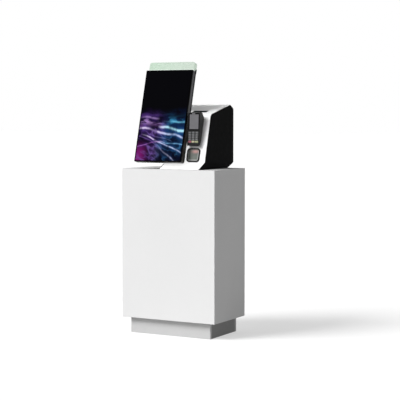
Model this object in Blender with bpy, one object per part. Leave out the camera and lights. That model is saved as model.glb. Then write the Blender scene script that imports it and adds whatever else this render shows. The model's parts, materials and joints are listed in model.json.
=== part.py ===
"""Self-service order-and-pay kiosk: a lacquered pedestal cabinet carrying a
kiosk head with a tilted portrait touch display, status light, payment
terminal, barcode scanner and receipt printer.

Frame: metres, +Z up, the front faces -Y, +X is the viewer's right when
standing in front of the kiosk.  The origin is the centre of the pedestal's
foot on the floor.
"""
import math

import bmesh
import bpy
from mathutils import Matrix, Vector

# ------------------------------------------------------------------ clear
for ob in list(bpy.data.objects):
    bpy.data.objects.remove(ob, do_unlink=True)

# --------------------------------------------------- driving dimensions (m)
GAP = 0.0003            # clearance between pieces that touch

PED_W = 0.5725          # pedestal width
PED_D = 0.3513          # pedestal depth
PED_H = 0.900           # pedestal height
BOARD = 0.016           # lacquered board thickness
CAB_BASE = 0.086        # underside of the cabinet above the floor
PLINTH_IN_X = 0.039     # plinth set back from the cabinet sides
PLINTH_IN_Y = 0.026     # plinth set back from the front and the back
FLOOR_PLATE_T = 0.006
CABLE_X, CABLE_Y = 0.066, 0.085   # vertical line of all the cable holes
CABLE_R = 0.0255

DOOR_GAP = 0.003
DOOR_T = 0.016
PIN_R = 0.004
LOCK_X, LOCK_Z = 0.235, 0.500
LOCK_R = 0.009

HEAD_L, HEAD_R = -0.058, 0.190    # kiosk head, left and right faces
CHEEK = 0.0030                    # side panels, outside the covers
WRAP_L, WRAP_R = HEAD_L + CHEEK + 0.0003, HEAD_R - CHEEK - 0.0003  # covers
FOOT_Z = 0.9006                   # lower edge of the covers
HEAD_Z = 0.904                    # underside of the head covers
SKIN = 0.0035                     # cover wall
RIM_DEPTH = 0.011                 # depth of the covers' edge flanges
RIM_W = 0.008                     # width of the covers' edge flanges
# outer side profile of the head (y, z): toe, front foot, front top, top
# front, top rear, rear shoulder, rear foot, base rear
P1, P2, P3, P4 = (-0.1725, FOOT_Z), (-0.101, 0.938), (-0.036, 1.186), (-0.024, 1.196)
P5, P6, P7, P8 = (0.186, 1.246), (0.224, 1.2255), (0.224, 0.9275), (0.1560, FOOT_Z)
CORNER_R = 0.0130                 # profile corners; more than the flanges' depth
SEAM_U = 0.0730                   # front cover / lid seam, along the top
HINGE_R = 0.005                   # lid hinge barrel
ROD_R = 0.002

DISP_W, DISP_H, DISP_T = 0.292, 0.513, 0.0438
DISP_O = (-0.2230, -0.1538, 0.9390)  # front bottom left corner
DISP_TILT = math.radians(15.2)

TERM_X = 0.1135                   # payment terminal, middle of its face
TERM_W, TERM_H = 0.075, 0.180
TERM_Y, TERM_Z = -0.099, 1.026    # bottom of its face
TERM_TILT = math.atan2(0.0105, 0.180)
KEY_PITCH_X, KEY_PITCH_V = 0.0213, 0.0122
KEY_W, KEY_H = 0.0180, 0.0095
KEY_TRAVEL = 0.0015

SCAN_X, SCAN_S = 0.1118, 0.0391   # scanner centre on the front slope
ROLL_Y, ROLL_Z, ROLL_R, ROLL_W = 0.115, 1.150, 0.040, 0.0796
PRINT_X = 0.0880
PLATEN_Y, PLATEN_Z, PLATEN_R = 0.0385, 1.183, 0.008

# --------------------------------------------------------------- materials


def lin(c):
    c = c / 255.0
    return c / 12.92 if c <= 0.04045 else ((c + 0.055) / 1.055) ** 2.4


MATS = {}


def material(name, rgb, rough, metal=0.0, alpha=1.0):
    if name in MATS:
        return MATS[name]
    m = bpy.data.materials.new(name)
    m.use_nodes = True
    b = m.node_tree.nodes["Principled BSDF"]
    b.inputs["Base Color"].default_value = (lin(rgb[0]), lin(rgb[1]), lin(rgb[2]), 1)
    b.inputs["Roughness"].default_value = rough
    b.inputs["Metallic"].default_value = metal
    b.inputs["Alpha"].default_value = alpha
    m.diffuse_color = (lin(rgb[0]), lin(rgb[1]), lin(rgb[2]), alpha)
    MATS[name] = m
    return m


PALETTE = {
    "lacquer_white": ((238, 238, 238), 0.35, 0.0, 1.0),
    "steel_plate": ((120, 122, 125), 0.45, 1.0, 1.0),
    "steel_bright": ((190, 190, 192), 0.25, 1.0, 1.0),
    "cover_white": ((240, 240, 240), 0.32, 0.0, 1.0),
    "panel_black": ((16, 16, 17), 0.45, 0.0, 1.0),
    "plastic_black": ((24, 24, 26), 0.5, 0.0, 1.0),
    "terminal_dark": ((46, 46, 48), 0.5, 0.0, 1.0),
    "glass_black": ((8, 9, 12), 0.06, 0.0, 1.0),
    "frame_grey": ((74, 74, 76), 0.4, 0.6, 1.0),
    "diffuser_green": ((206, 228, 208), 0.4, 0.0, 0.7),
    "board_green": ((28, 90, 60), 0.6, 0.0, 1.0),
    "rubber_black": ((20, 20, 20), 0.8, 0.0, 1.0),
    "paper_white": ((245, 244, 240), 0.9, 0.0, 1.0),
    "key_grey": ((150, 150, 152), 0.6, 0.0, 1.0),
    "key_red": ((196, 60, 84), 0.5, 0.0, 1.0),
    "key_yellow": ((222, 206, 128), 0.5, 0.0, 1.0),
    "key_green": ((96, 150, 84), 0.5, 0.0, 1.0),
    "scan_glass": ((150, 150, 148), 0.12, 0.0, 1.0),
    "screen_grey": ((112, 112, 116), 0.2, 0.0, 1.0),
    "pc_grey": ((90, 92, 96), 0.5, 0.7, 1.0),
}

# ----------------------------------------------------------- mesh builders


def face_out(bm):
    """Make every face point out of the solid."""
    bmesh.ops.recalc_face_normals(bm, faces=bm.faces[:])
    if bm.calc_volume(signed=True) < 0:
        bmesh.ops.reverse_faces(bm, faces=bm.faces[:])


def add(name, bm, slot, matrix=None, origin=None, sharp=35.0):
    """Turn a bmesh (world or local coordinates) into a named object."""
    face_out(bm)
    if origin is not None:
        bmesh.ops.translate(bm, verts=bm.verts[:], vec=-Vector(origin))
    me = bpy.data.meshes.new(name)
    bm.to_mesh(me)
    bm.free()
    me.materials.append(material(slot, *PALETTE[slot]) if slot else None)
    me.shade_smooth()
    me.set_sharp_from_angle(angle=math.radians(sharp))
    ob = bpy.data.objects.new(name, me)
    bpy.context.scene.collection.objects.link(ob)
    if matrix is not None:
        ob.matrix_world = matrix
    if origin is not None:
        ob.location = origin
    return ob


def guide(name, bm, matrix=None):
    """A cutter or an added lump: used by a Boolean, never built itself."""
    face_out(bm)
    me = bpy.data.meshes.new(name)
    bm.to_mesh(me)
    bm.free()
    ob = bpy.data.objects.new(name, me)
    bpy.context.scene.collection.objects.link(ob)
    if matrix is not None:
        ob.matrix_world = matrix
    ob.hide_render = True
    ob.display_type = 'WIRE'
    return ob


def boolean(ob, other, op='DIFFERENCE'):
    m = ob.modifiers.new(other.name, 'BOOLEAN')
    m.operation = op
    m.solver = 'EXACT'
    m.object = other
    return m


def bevel(ob, width, segments=1, angle=60.0):
    m = ob.modifiers.new("edge", 'BEVEL')
    m.width = width
    m.segments = segments
    m.limit_method = 'ANGLE'
    m.angle_limit = math.radians(angle)
    m.use_clamp_overlap = True
    return m


def stack(loops):
    """Closed solid through a list of equal-length 3-D loops, capped."""
    bm = bmesh.new()
    rows = [[bm.verts.new(p) for p in loop] for loop in loops]
    n = len(rows[0])
    for a, b in zip(rows, rows[1:]):
        for i in range(n):
            j = (i + 1) % n
            bm.faces.new((a[i], a[j], b[j], b[i]))
    bm.faces.new(rows[0][::-1])
    bm.faces.new(rows[-1])
    return bm


def torus_of(loops):
    """Closed ring solid: the loops follow each other round and join up."""
    bm = bmesh.new()
    rows = [[bm.verts.new(p) for p in loop] for loop in loops]
    n = len(rows[0])
    for k in range(len(rows)):
        a, b = rows[k], rows[(k + 1) % len(rows)]
        for i in range(n):
            j = (i + 1) % n
            bm.faces.new((a[i], a[j], b[j], b[i]))
    return bm


def rrect(w, h, r, seg=4, cx=0.0, cy=0.0):
    """Rounded rectangle outline, counter-clockwise, 4*(seg+1) points."""
    r = max(r, 0.0002)
    pts = []
    for k, (sx, sy) in enumerate(((1, 1), (-1, 1), (-1, -1), (1, -1))):
        ox, oy = cx + sx * (w / 2 - r), cy + sy * (h / 2 - r)
        for i in range(seg + 1):
            a = math.pi / 2 * (k + i / seg)
            pts.append((ox + r * math.cos(a), oy + r * math.sin(a)))
    return pts


def circle(r, n, cx=0.0, cy=0.0, start=0.0):
    return [(cx + r * math.cos(start + 2 * math.pi * i / n),
             cy + r * math.sin(start + 2 * math.pi * i / n)) for i in range(n)]


def at_z(outline, z):
    return [(x, y, z) for x, y in outline]


def along_x(outline_yz, x):
    return [(x, y, z) for y, z in outline_yz]


def box(lo, hi):
    x0, y0, z0 = lo
    x1, y1, z1 = hi
    return stack([[(x0, y0, z), (x1, y0, z), (x1, y1, z), (x0, y1, z)]
                  for z in (z0, z1)])


def prism_x(outline_yz, x0, x1):
    return stack([along_x(outline_yz, x0), along_x(outline_yz, x1)])


def cyl(axis, r, c, lo, hi, n=16):
    """Cylinder along 'x', 'y' or 'z' through c (the two other coordinates)."""
    o = circle(r, n, c[0], c[1], math.pi / n)
    if axis == 'z':
        return stack([at_z(o, lo), at_z(o, hi)])
    if axis == 'y':
        return stack([[(x, v, z) for x, z in o] for v in (lo, hi)])
    return stack([[(v, y, z) for y, z in o] for v in (lo, hi)])


def plane_frame(origin, tilt):
    """Local x = +X, local y up a face leaning back by tilt, local z out."""
    s, c = math.sin(tilt), math.cos(tilt)
    m = Matrix(((1, 0, 0, origin[0]), (0, s, -c, origin[1]),
                (0, c, s, origin[2]), (0, 0, 0, 1)))
    return m


# ---------------------------------------------------------------- pedestal
hw, hd = PED_W / 2, PED_D / 2
px, py = hw - PLINTH_IN_X, hd - PLINTH_IN_Y
zt = PED_H
zp = CAB_BASE - GAP

plate = add("floor_plate", box((-px + BOARD + GAP, -py + BOARD + GAP, 0),
                               (px - BOARD - GAP, py - BOARD - GAP, FLOOR_PLATE_T)),
            "steel_plate")
boolean(plate, guide("cut_floor_cable", cyl('z', CABLE_R, (CABLE_X, CABLE_Y), -0.01, 0.02, 24)))
for i, (ax, ay) in enumerate(((-0.19, -0.095), (0.19, -0.095), (-0.19, 0.095), (0.19, 0.095))):
    boolean(plate, guide("cut_anchor_%d" % i, cyl('z', 0.0065, (ax, ay), -0.01, 0.02, 12)))

add("plinth_front", box((-px, -py, 0), (px, -py + BOARD, zp)), "lacquer_white")
add("plinth_back", box((-px, py - BOARD, 0), (px, py, zp)), "lacquer_white")
add("plinth_left", box((-px, -py + BOARD + GAP, 0), (-px + BOARD, py - BOARD - GAP, zp)), "lacquer_white")
add("plinth_right", box((px - BOARD, -py + BOARD + GAP, 0), (px, py - BOARD - GAP, zp)), "lacquer_white")

# mitred boards: m keeps a hairline between the 45 degree faces
m = GAP * 0.7072
t = BOARD


def board(name, outer, inner):
    ob = add(name, stack([outer, inner]), "lacquer_white")
    bevel(ob, 0.0015, 2, 100.0)
    return ob


def rect_xz(y, x0, x1, z0, z1):
    return [(x0, y, z0), (x1, y, z0), (x1, y, z1), (x0, y, z1)]


def rect_yz(x, y0, y1, z0, z1):
    return [(x, y0, z0), (x, y1, z0), (x, y1, z1), (x, y0, z1)]


def rect_xy(z, x0, x1, y0, y1):
    return [(x0, y0, z), (x1, y0, z), (x1, y1, z), (x0, y1, z)]


board("cabinet_front_panel",
      rect_xz(-hd, -hw + m, hw - m, CAB_BASE, zt - m),
      rect_xz(-hd + t, -hw + t + m, hw - t - m, CAB_BASE, zt - t - m))
for side, sx in (("left", -1), ("right", 1)):
    board("cabinet_%s_panel" % side,
          rect_yz(sx * hw, -hd + m, hd, CAB_BASE, zt - m),
          rect_yz(sx * (hw - t), -hd + t + m, hd, CAB_BASE, zt - t - m))
top = board("cabinet_top_panel",
            rect_xy(zt, -hw + m, hw - m, -hd + m, hd),
            rect_xy(zt - t, -hw + t + m, hw - t - m, -hd + t + m, hd))
boolean(top, guide("cut_top_cable", cyl('z', CABLE_R, (CABLE_X, CABLE_Y), zt - 0.05, zt + 0.05, 24)))
bottom = add("cabinet_bottom_panel",
             box((-hw + t + GAP, -hd + t + GAP, CAB_BASE), (hw - t - GAP, hd, CAB_BASE + t)),
             "lacquer_white")
boolean(bottom, guide("cut_bottom_cable", cyl('z', CABLE_R, (CABLE_X, CABLE_Y), 0.05, 0.15, 24)))

# grommet in the top board: a sleeve with a flange under the board
gz = zt - t - GAP
add("cable_grommet", torus_of([
    at_z(circle(r, 24, CABLE_X, CABLE_Y, math.pi / 24), z) for r, z in (
        (0.0215, gz - 0.0025), (0.0300, gz - 0.0025), (0.0300, gz),
        (0.0250, gz), (0.0250, zt - 0.0005), (0.0215, zt - 0.0005))]), "rubber_black")

add("power_supply_unit", box((-0.200, -0.050, CAB_BASE + t + GAP),
                             (-0.040, 0.040, CAB_BASE + t + 0.048)), "pc_grey")
bevel(bpy.data.objects["power_supply_unit"], 0.003, 2)

# rear door, inset between the side boards, turning on two pivot pins
hx, hy = -(hw - t) + DOOR_GAP + DOOR_T / 2, hd - DOOR_T / 2
dz0, dz1 = CAB_BASE + t + DOOR_GAP, zt - t - DOOR_GAP
arc = [(hx + DOOR_T / 2 * math.cos(a), hy + DOOR_T / 2 * math.sin(a))
       for a in [math.pi / 2 + math.pi * i / 10 for i in range(11)]]
outline = arc + [(hw - t - DOOR_GAP, hd - DOOR_T), (hw - t - DOOR_GAP, hd)]
door = add("rear_door", stack([at_z(outline, dz0), at_z(outline, dz1)]), "lacquer_white",
           origin=(hx, hy, 0))
boolean(door, guide("cut_pin_low", cyl('z', PIN_R + 0.0003, (hx, hy), dz0 - 0.01, dz0 + 0.013, 16)))
boolean(door, guide("cut_pin_high", cyl('z', PIN_R + 0.0003, (hx, hy), dz1 - 0.013, dz1 + 0.01, 16)))
boolean(door, guide("cut_lock", cyl('y', LOCK_R + 0.0003, (LOCK_X, LOCK_Z), hd - 0.03, hd + 0.01, 24)))
add("door_pivot_pin_lower", cyl('z', PIN_R, (hx, hy), CAB_BASE + t + GAP, dz0 + 0.011, 16), "steel_bright")
add("door_pivot_pin_upper", cyl('z', PIN_R, (hx, hy), dz1 - 0.011, zt - t - GAP, 16), "steel_bright")


def rings_y(steps, n, cx, cz):
    return stack([[(x, y, z) for x, z in circle(r, n, cx, cz, math.pi / n)] for r, y in steps])


plug = add("door_lock_plug", rings_y(((LOCK_R, hd - DOOR_T - 0.002), (LOCK_R, hd + GAP),
                                      (0.0120, hd + GAP), (0.0120, hd + 0.0020),
                                      (0.0112, hd + 0.0026)), 24, LOCK_X, LOCK_Z),
           "steel_bright", origin=(LOCK_X, hd, LOCK_Z))
boolean(plug, guide("cut_keyway", box((LOCK_X - 0.0009, hd + 0.0008, LOCK_Z - 0.0045),
                                      (LOCK_X + 0.0009, hd + 0.006, LOCK_Z + 0.0045))))
cam = [(LOCK_X + 0.008 * math.cos(a), LOCK_Z + 0.008 * math.sin(a))
       for a in [math.pi * i / 8 for i in range(9)]]
cam += [(LOCK_X - 0.006, LOCK_Z - 0.030), (LOCK_X + 0.006, LOCK_Z - 0.030)]
add("door_lock_cam", stack([[(x, y, z) for x, z in cam] for y in
                            (hd - DOOR_T - 0.0053, hd - DOOR_T - 0.0023)]),
    "steel_bright", origin=(LOCK_X, hd, LOCK_Z))
sxr = hw - t - GAP
strike = [(0.2560, hd - 0.0163), (0.2560, hd - 0.0178), (sxr - 0.0018, hd - 0.0178),
          (sxr - 0.0018, hd - 0.0450), (sxr, hd - 0.0450), (sxr, hd - 0.0163)]
add("lock_strike", stack([at_z(strike, LOCK_Z - 0.016), at_z(strike, LOCK_Z + 0.016)]), "steel_bright")

# -------------------------------------------------------------- kiosk head
base = add("head_base_plate", box((HEAD_L + 0.0130, -0.148, zt + GAP), (HEAD_R - 0.0130, 0.136, HEAD_Z - GAP)),
           "steel_plate")
boolean(base, guide("cut_base_cable", cyl('z', CABLE_R, (CABLE_X, CABLE_Y), zt - 0.02, zt + 0.03, 24)))


def unit(a, b):
    d = Vector((b[0] - a[0], b[1] - a[1]))
    return d / d.length


def fillet(pts, radii, seg=2):
    """Round the inner corners of an open polyline of (y, z) points."""
    out = [Vector(pts[0])]
    for i in range(1, len(pts) - 1):
        p, r = Vector(pts[i]), radii[i]
        if not r:
            out.append(p)
            continue
        a, b = unit(pts[i], pts[i - 1]), unit(pts[i], pts[i + 1])
        half = a.angle(b) / 2
        cut = r / math.tan(half)
        c = p + (a + b).normalized() * (r / math.sin(half))
        s0, s1 = p + a * cut - c, p + b * cut - c
        for k in range(seg + 1):
            q = s0.lerp(s1, k / seg).normalized() * r
            out.append(c + q)
    out.append(Vector(pts[-1]))
    return out


def inward(d):
    """Normal of a profile direction that points into the body."""
    return Vector((d[1], -d[0]))


def mitres(pts, first=None, last=None):
    """Per-point vectors: moving by depth * vector keeps walls parallel."""
    out = []
    for i, p in enumerate(pts):
        n0 = inward(unit(pts[i - 1], p)) if i else None
        n1 = inward(unit(p, pts[i + 1])) if i < len(pts) - 1 else None
        if n0 is None or n1 is None:
            n = n0 or n1
            e = (first if i == 0 else last) or n
            out.append(Vector(e) / Vector(e).dot(n))
        else:
            s = n0 + n1
            out.append(s / s.dot(n0))
    return out


def cover_section(x0, x1, fil=0.0045, seg=3):
    """(x, depth) outline of a cover: a skin with a rounded flange each side."""
    sec = []
    for i in range(seg + 1):
        a = math.pi / 2 * i / seg
        sec.append((x0 + fil * (1 - math.cos(a)), fil * (1 - math.sin(a))))
    for i in range(seg + 1):
        a = math.pi / 2 * (1 - i / seg)
        sec.append((x1 - fil * (1 - math.cos(a)), fil * (1 - math.sin(a))))
    sec += [(x1, RIM_DEPTH), (x1 - RIM_W, RIM_DEPTH), (x1 - RIM_W, SKIN),
            (x0 + RIM_W, SKIN), (x0 + RIM_W, RIM_DEPTH), (x0, RIM_DEPTH)]
    return sec


def sweep(profile, mit, section):
    loops = []
    for p, v in zip(profile, mit):
        loops.append([(x, p.x + v.x * d, p.y + v.y * d) for x, d in section])
    return stack(loops)


top_dir = unit(P4, P5)
top_in = inward(top_dir)
TOP_L = (Vector(P5) - Vector(P4)).length


def on_top(u, depth):
    """Point at distance u behind P4 along the sloped top, depth below it."""
    p = Vector(P4) + top_dir * u + top_in * depth
    return (p.x, p.y)


sec = cover_section(WRAP_L, WRAP_R, 0.0025)
front_pts = fillet([P1, P2, P3, P4, on_top(SEAM_U, 0)], [0, 0.002, CORNER_R, CORNER_R, 0], 2)
front = add("front_cover", sweep(front_pts, mitres(front_pts, first=(1, 0)), sec), "cover_white")
# opening for the scanner sleeve and for the terminal's bracket
TILT = math.atan2(P3[0] - P2[0], P3[1] - P2[1])   # the head's front slope leans back
FRONT = plane_frame((0, P2[0], P2[1]), TILT)
boolean(front, guide("cut_scanner", stack([at_z(rrect(0.066, 0.0656, 0.011, 4, SCAN_X, SCAN_S), z)
                                           for z in (-0.02, 0.02)]), FRONT))
# opening for the receipt outlet in the top
TOPF = Matrix(((1, 0, 0, 0), (0, top_dir.x, -top_in.x * 1, P4[0]),
               (0, top_dir.y, -top_in.y * 1, P4[1]), (0, 0, 0, 1)))
BEZ_U0, BEZ_U1 = 0.0370, 0.0690
bu, bl = (BEZ_U0 + BEZ_U1) / 2, BEZ_U1 - BEZ_U0
boolean(front, guide("cut_outlet", stack([at_z(rrect(0.0902, bl + 0.0006, 0.0033, 2, PRINT_X, bu), z)
                                          for z in (-0.02, 0.02)]), TOPF))

# receipt outlet: a black bezel, sunk towards a vertical paper slot
bez = add("receipt_slot_bezel", stack([at_z(rrect(0.0896 - 2 * i, bl - 2 * i, 0.003, 2, PRINT_X, bu), z)
                                       for i, z in ((0, -0.0060), (0, 0.0004), (0.0006, 0.0010))]),
          "plastic_black", matrix=TOPF)
slot_y0, slot_y1 = 0.0265, 0.0335
boolean(bez, guide("cut_slot", box((PRINT_X - 0.041, slot_y0, 1.17), (PRINT_X + 0.041, slot_y1, 1.25))))
boolean(bez, guide("cut_funnel", prism_x([on_top(BEZ_U0 + 0.003, -0.004), on_top(BEZ_U0 + 0.003, -0.0004),
                                          on_top(0.0530, 0.0030), on_top(0.0590, 0.0030),
                                          on_top(0.0630, -0.0004), on_top(0.0630, -0.004)],
                                         PRINT_X - 0.0422, PRINT_X + 0.0422)))

# lid over the paper, hinged at the rear top
HINGE_U = TOP_L - 0.0054
hinge = on_top(HINGE_U, HINGE_R)
lid_pts = [Vector(on_top(SEAM_U + 0.0005, 0)), Vector(on_top(HINGE_U - 0.0054, 0))]
lid = add("top_lid", sweep(lid_pts, mitres(lid_pts), sec), "cover_white",
          origin=(0, hinge[0], hinge[1]))
barrel = [on_top(HINGE_U - 0.0070, 0.0)]
for i in range(13):
    a = math.pi / 2 - math.pi * 1.35 * i / 12
    barrel.append(on_top(HINGE_U + HINGE_R * math.cos(a), HINGE_R - HINGE_R * math.sin(a)))
barrel.append(on_top(HINGE_U - 0.0070, SKIN - 0.0004))
x0, x1 = WRAP_L + RIM_W + 0.0005, WRAP_R - RIM_W - 0.0005
boolean(lid, guide("add_barrel", prism_x(barrel, x0, x1)), 'UNION')
boolean(lid, guide("cut_rod", cyl('x', ROD_R + 0.0003, hinge, HEAD_L - 0.01, HEAD_R + 0.01, 16)))

# rear cover with an ear each side that carries the hinge rod
rear_pts = fillet([P5, P6, P7, P8], [0, CORNER_R, CORNER_R, 0], 2)
rear = add("rear_cover", sweep(rear_pts, mitres(rear_pts, first=top_in, last=(-1, 0)), sec), "cover_white")
ear = []
for i in range(13):
    a = math.pi / 2 + math.pi * i / 12
    ear.append(on_top(HINGE_U + HINGE_R * math.cos(a), HINGE_R - HINGE_R * math.sin(a)))
ear += [on_top(TOP_L + 0.0030, 2 * HINGE_R), on_top(TOP_L + 0.0030, 0.0046), on_top(HINGE_U + 0.0025, 0.0004)]
boolean(rear, guide("add_ear_l", prism_x(ear, WRAP_L + 0.0007, WRAP_L + RIM_W - 0.0003)), 'UNION')
boolean(rear, guide("add_ear_r", prism_x(ear, WRAP_R - RIM_W + 0.0003, WRAP_R - 0.0007)), 'UNION')
boolean(rear, guide("cut_rear_rod", cyl('x', ROD_R + 0.0003, hinge, WRAP_L + 0.0025, WRAP_R - 0.0025, 16)))
add("lid_hinge_rod", cyl('x', ROD_R, hinge, WRAP_L + 0.0030, WRAP_R - 0.0030, 16), "steel_bright")

# side panels over the open sides of the covers, a little inside their edge
ring = fillet([P1, P2, P3, P4, P5, P6, P7, P8], [0, 0.002, CORNER_R, CORNER_R, 0, CORNER_R, CORNER_R, 0], 2)
mit = mitres(ring, first=(1, 0), last=(-1, 0))
inner = [(p.x + v.x * 0.0008, p.y + v.y * 0.0008) for p, v in zip(ring, mit)]
for side, xa, xb in (("left", HEAD_L, HEAD_L + CHEEK), ("right", HEAD_R - CHEEK, HEAD_R)):
    ob = add("%s_side_panel" % side, prism_x(inner, xa, xb), "panel_black")

# receipt printer: cradle, roll on its spindle, platen and print head
cx0, cx1 = PRINT_X - 0.048, PRINT_X + 0.048
chassis = add("printer_chassis", box((cx0, 0.015, 1.1035), (cx1, 0.165, 1.1065)), "steel_plate")
cheek = [(0.015, 1.1035), (0.165, 1.1035), (0.165, 1.178), (0.078, 1.178), (0.056, 1.194), (0.015, 1.194)]
boolean(chassis, guide("add_cheek_l", prism_x(cheek, cx0, cx0 + 0.003)), 'UNION')
boolean(chassis, guide("add_cheek_r", prism_x(cheek, cx1 - 0.003, cx1)), 'UNION')
boolean(chassis, guide("add_print_foot", box((cx0 + 0.001, 0.0170, 1.1035), (cx1 - 0.001, 0.0222, 1.192))), 'UNION')
add("paper_spindle", cyl('x', 0.006, (ROLL_Y, ROLL_Z), cx0 + 0.0033, cx1 - 0.0033, 20), "plastic_black")


def tube_x(ro, ri, c, lo, hi, n):
    return torus_of([[(x, y, z) for y, z in circle(r, n, c[0], c[1], math.pi / n)]
                     for r, x in ((ri, lo), (ro, lo), (ro, hi), (ri, hi))])


add("paper_roll", tube_x(ROLL_R, 0.0066, (ROLL_Y, ROLL_Z), PRINT_X - ROLL_W / 2, PRINT_X + ROLL_W / 2, 32),
    "paper_white", origin=(PRINT_X, ROLL_Y, ROLL_Z))
add("platen_roller", stack([[(x, y, z) for y, z in circle(r, 20, PLATEN_Y, PLATEN_Z)] for r, x in
                            ((0.003, cx0 + 0.0033), (0.003, PRINT_X - 0.042), (PLATEN_R, PRINT_X - 0.042),
                             (PLATEN_R, PRINT_X + 0.042), (0.003, PRINT_X + 0.042), (0.003, cx1 - 0.0033))]),
    "rubber_black", origin=(PRINT_X, PLATEN_Y, PLATEN_Z))
add("print_head", box((PRINT_X - 0.042, 0.0225, 1.172), (PRINT_X + 0.042, 0.0299, 1.193)), "steel_plate")

add("controller_pc", box((-0.045, 0.000, HEAD_Z), (0.015, 0.145, HEAD_Z + 0.130)), "pc_grey")
bevel(bpy.data.objects["controller_pc"], 0.003, 2)

# ------------------------------------------------------- barcode scanner
SC = FRONT @ Matrix.Translation((SCAN_X, SCAN_S, 0))


def rr(w, h, r, z, seg=4):
    return at_z(rrect(w, h, r, seg), z)


add("scanner_bezel", torus_of([
    rr(0.0560, 0.0536, 0.008, -0.0100), rr(0.0654, 0.0650, 0.0107, -0.0100),
    rr(0.0654, 0.0650, 0.0107, GAP), rr(0.0800, 0.0776, 0.0180, GAP),
    rr(0.0800, 0.0776, 0.0180, 0.0022), rr(0.0784, 0.0760, 0.0172, 0.0032),
    rr(0.0656, 0.0632, 0.0113, 0.0032), rr(0.0646, 0.0622, 0.0108, 0.0026),
    rr(0.0646, 0.0622, 0.0108, 0.0006), rr(0.0560, 0.0536, 0.008, 0.0006)]),
    "plastic_black", matrix=SC)
add("scanner_window", stack([rr(0.0640, 0.0616, 0.0105, 0.0009), rr(0.0640, 0.0616, 0.0105, 0.0022),
                             rr(0.0632, 0.0608, 0.0101, 0.0026)]), "scan_glass", matrix=SC)
add("scanner_engine", stack([rr(0.050, 0.044, 0.003, -0.0360, 2), rr(0.050, 0.044, 0.003, -0.0103, 2)]),
    "plastic_black", matrix=SC)

# ------------------------------------------------------ payment terminal
TERM = plane_frame((TERM_X, TERM_Y, TERM_Z), TERM_TILT)
TINV = TERM.inverted()
th = TERM_W / 2


def term_yz(y, z):
    """World (y, z) to the terminal's own (v, n)."""
    p = TINV @ Vector((TERM_X, y, z))
    return (p.y, p.z)


# side outline in the terminal's frame: face bottom, face top, top rear
# slope, back along the head's front slope, bottom
fdir = Vector((math.sin(TILT), math.cos(TILT)))
fout = Vector((-math.cos(TILT), math.sin(TILT)))


def on_front(s, d):
    """World (y, z) at distance s up the head's front slope, d proud of it."""
    q = Vector(P2) + fdir * s + fout * d
    return (q.x, q.y)


prof = [(0.0035, 0.0), (TERM_H - 0.005, 0.0), (TERM_H - 0.001, -0.003),
        term_yz(-0.0700, 1.2050), term_yz(-0.0590, 1.2000)]
prof += [term_yz(*on_front(0.2440, 0.0035)), term_yz(*on_front(0.1180, 0.0035)),
         term_yz(-0.0870, 1.0280), (0.0, -0.0035)]
bm = bmesh.new()
rows = []
for x, shrink in ((-th, 0.0030), (-th + 0.0030, 0.0), (th - 0.0030, 0.0), (th, 0.0030)):
    cv = sum(p[0] for p in prof) / len(prof)
    row = []
    for v, n in prof:
        if n > -0.001:
            n = n - shrink * 0.8
        v = v + (shrink if v < cv else -shrink) * (1.0 if (v < 0.004 or v > TERM_H - 0.03) else 0.0)
        row.append(bm.verts.new((x, v, n)))
    rows.append(row)
for a, b in zip(rows, rows[1:]):
    for i in range(len(prof)):
        j = (i + 1) % len(prof)
        bm.faces.new((a[i], a[j], b[j], b[i]))
bm.faces.new(rows[0][::-1])
bm.faces.new(rows[-1])
body = add("terminal_body", bm, "terminal_dark", matrix=TERM)
SCR_V0, SCR_V1 = 0.0830, 0.1745
boolean(body, guide("cut_screen", stack([at_z(rrect(0.0646, SCR_V1 - SCR_V0 + 0.0006, 0.0043, 3, 0, (SCR_V0 + SCR_V1) / 2), z)
                                         for z in (-0.0020, 0.01)]), TERM))
WELL_V0, WELL_V1 = 0.0110, 0.0775
boolean(body, guide("cut_keywell", stack([at_z(rrect(0.0650, WELL_V1 - WELL_V0, 0.003, 2, 0, (WELL_V0 + WELL_V1) / 2), z)
                                          for z in (-0.0043, 0.01)]), TERM))
boolean(body, guide("cut_card", box((-0.0280, -0.01, -0.0085), (0.0280, 0.0300, -0.0062)), TERM))
boolean(body, guide("cut_swipe", box((th - 0.0080, -0.02, -0.0165), (th + 0.01, TERM_H + 0.02, -0.0140)), TERM))
add("terminal_screen", stack([at_z(rrect(0.0640 - 2 * i, SCR_V1 - SCR_V0 - 2 * i, 0.004, 3, 0, (SCR_V0 + SCR_V1) / 2), z)
                              for i, z in ((0, -0.0017), (0, 0.0003), (0.0005, 0.0008))]),
    "glass_black", matrix=TERM)

names = [("key_1", "key_2", "key_3"), ("key_4", "key_5", "key_6"), ("key_7", "key_8", "key_9"),
         ("key_star", "key_0", "key_hash"), ("key_cancel", "key_clear", "key_enter")]
key_centre = {}
for r, row in enumerate(names):
    for c, kn in enumerate(row):
        kx = (c - 1) * KEY_PITCH_X
        kv = 0.0707 - r * KEY_PITCH_V
        slot = "key_grey"
        if r == 4:
            slot = ("key_red", "key_yellow", "key_green")[c]
        loops = [at_z(rrect(KEY_W - 2 * i, KEY_H - 2 * i, 0.0022, 2), z)
                 for i, z in ((0, -0.0032), (0, -0.0005), (0.0007, 0.0))]
        KM = TERM @ Matrix.Translation((kx, kv, 0.0009))
        ob = add(kn, stack(loops), slot, matrix=KM)
        key_centre[kn] = KM.translation.copy()

# bracket between the head and the terminal
br = [term_yz(*on_front(0.130, GAP)), term_yz(*on_front(0.130, 0.0032)),
      term_yz(*on_front(0.230, 0.0032)), term_yz(*on_front(0.230, GAP))]
add("terminal_bracket", stack([[(x, v, n) for v, n in br] for x in (-0.022, 0.022)]),
    "plastic_black", matrix=TERM)

# --------------------------------------------------------------- display
DSP = plane_frame(DISP_O, DISP_TILT)
dcx, dcy = DISP_W / 2, DISP_H / 2


def drr(inset, r, z, seg=3):
    return at_z(rrect(DISP_W - 2 * inset, DISP_H - 2 * inset, r, seg, dcx, dcy), z)


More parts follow.
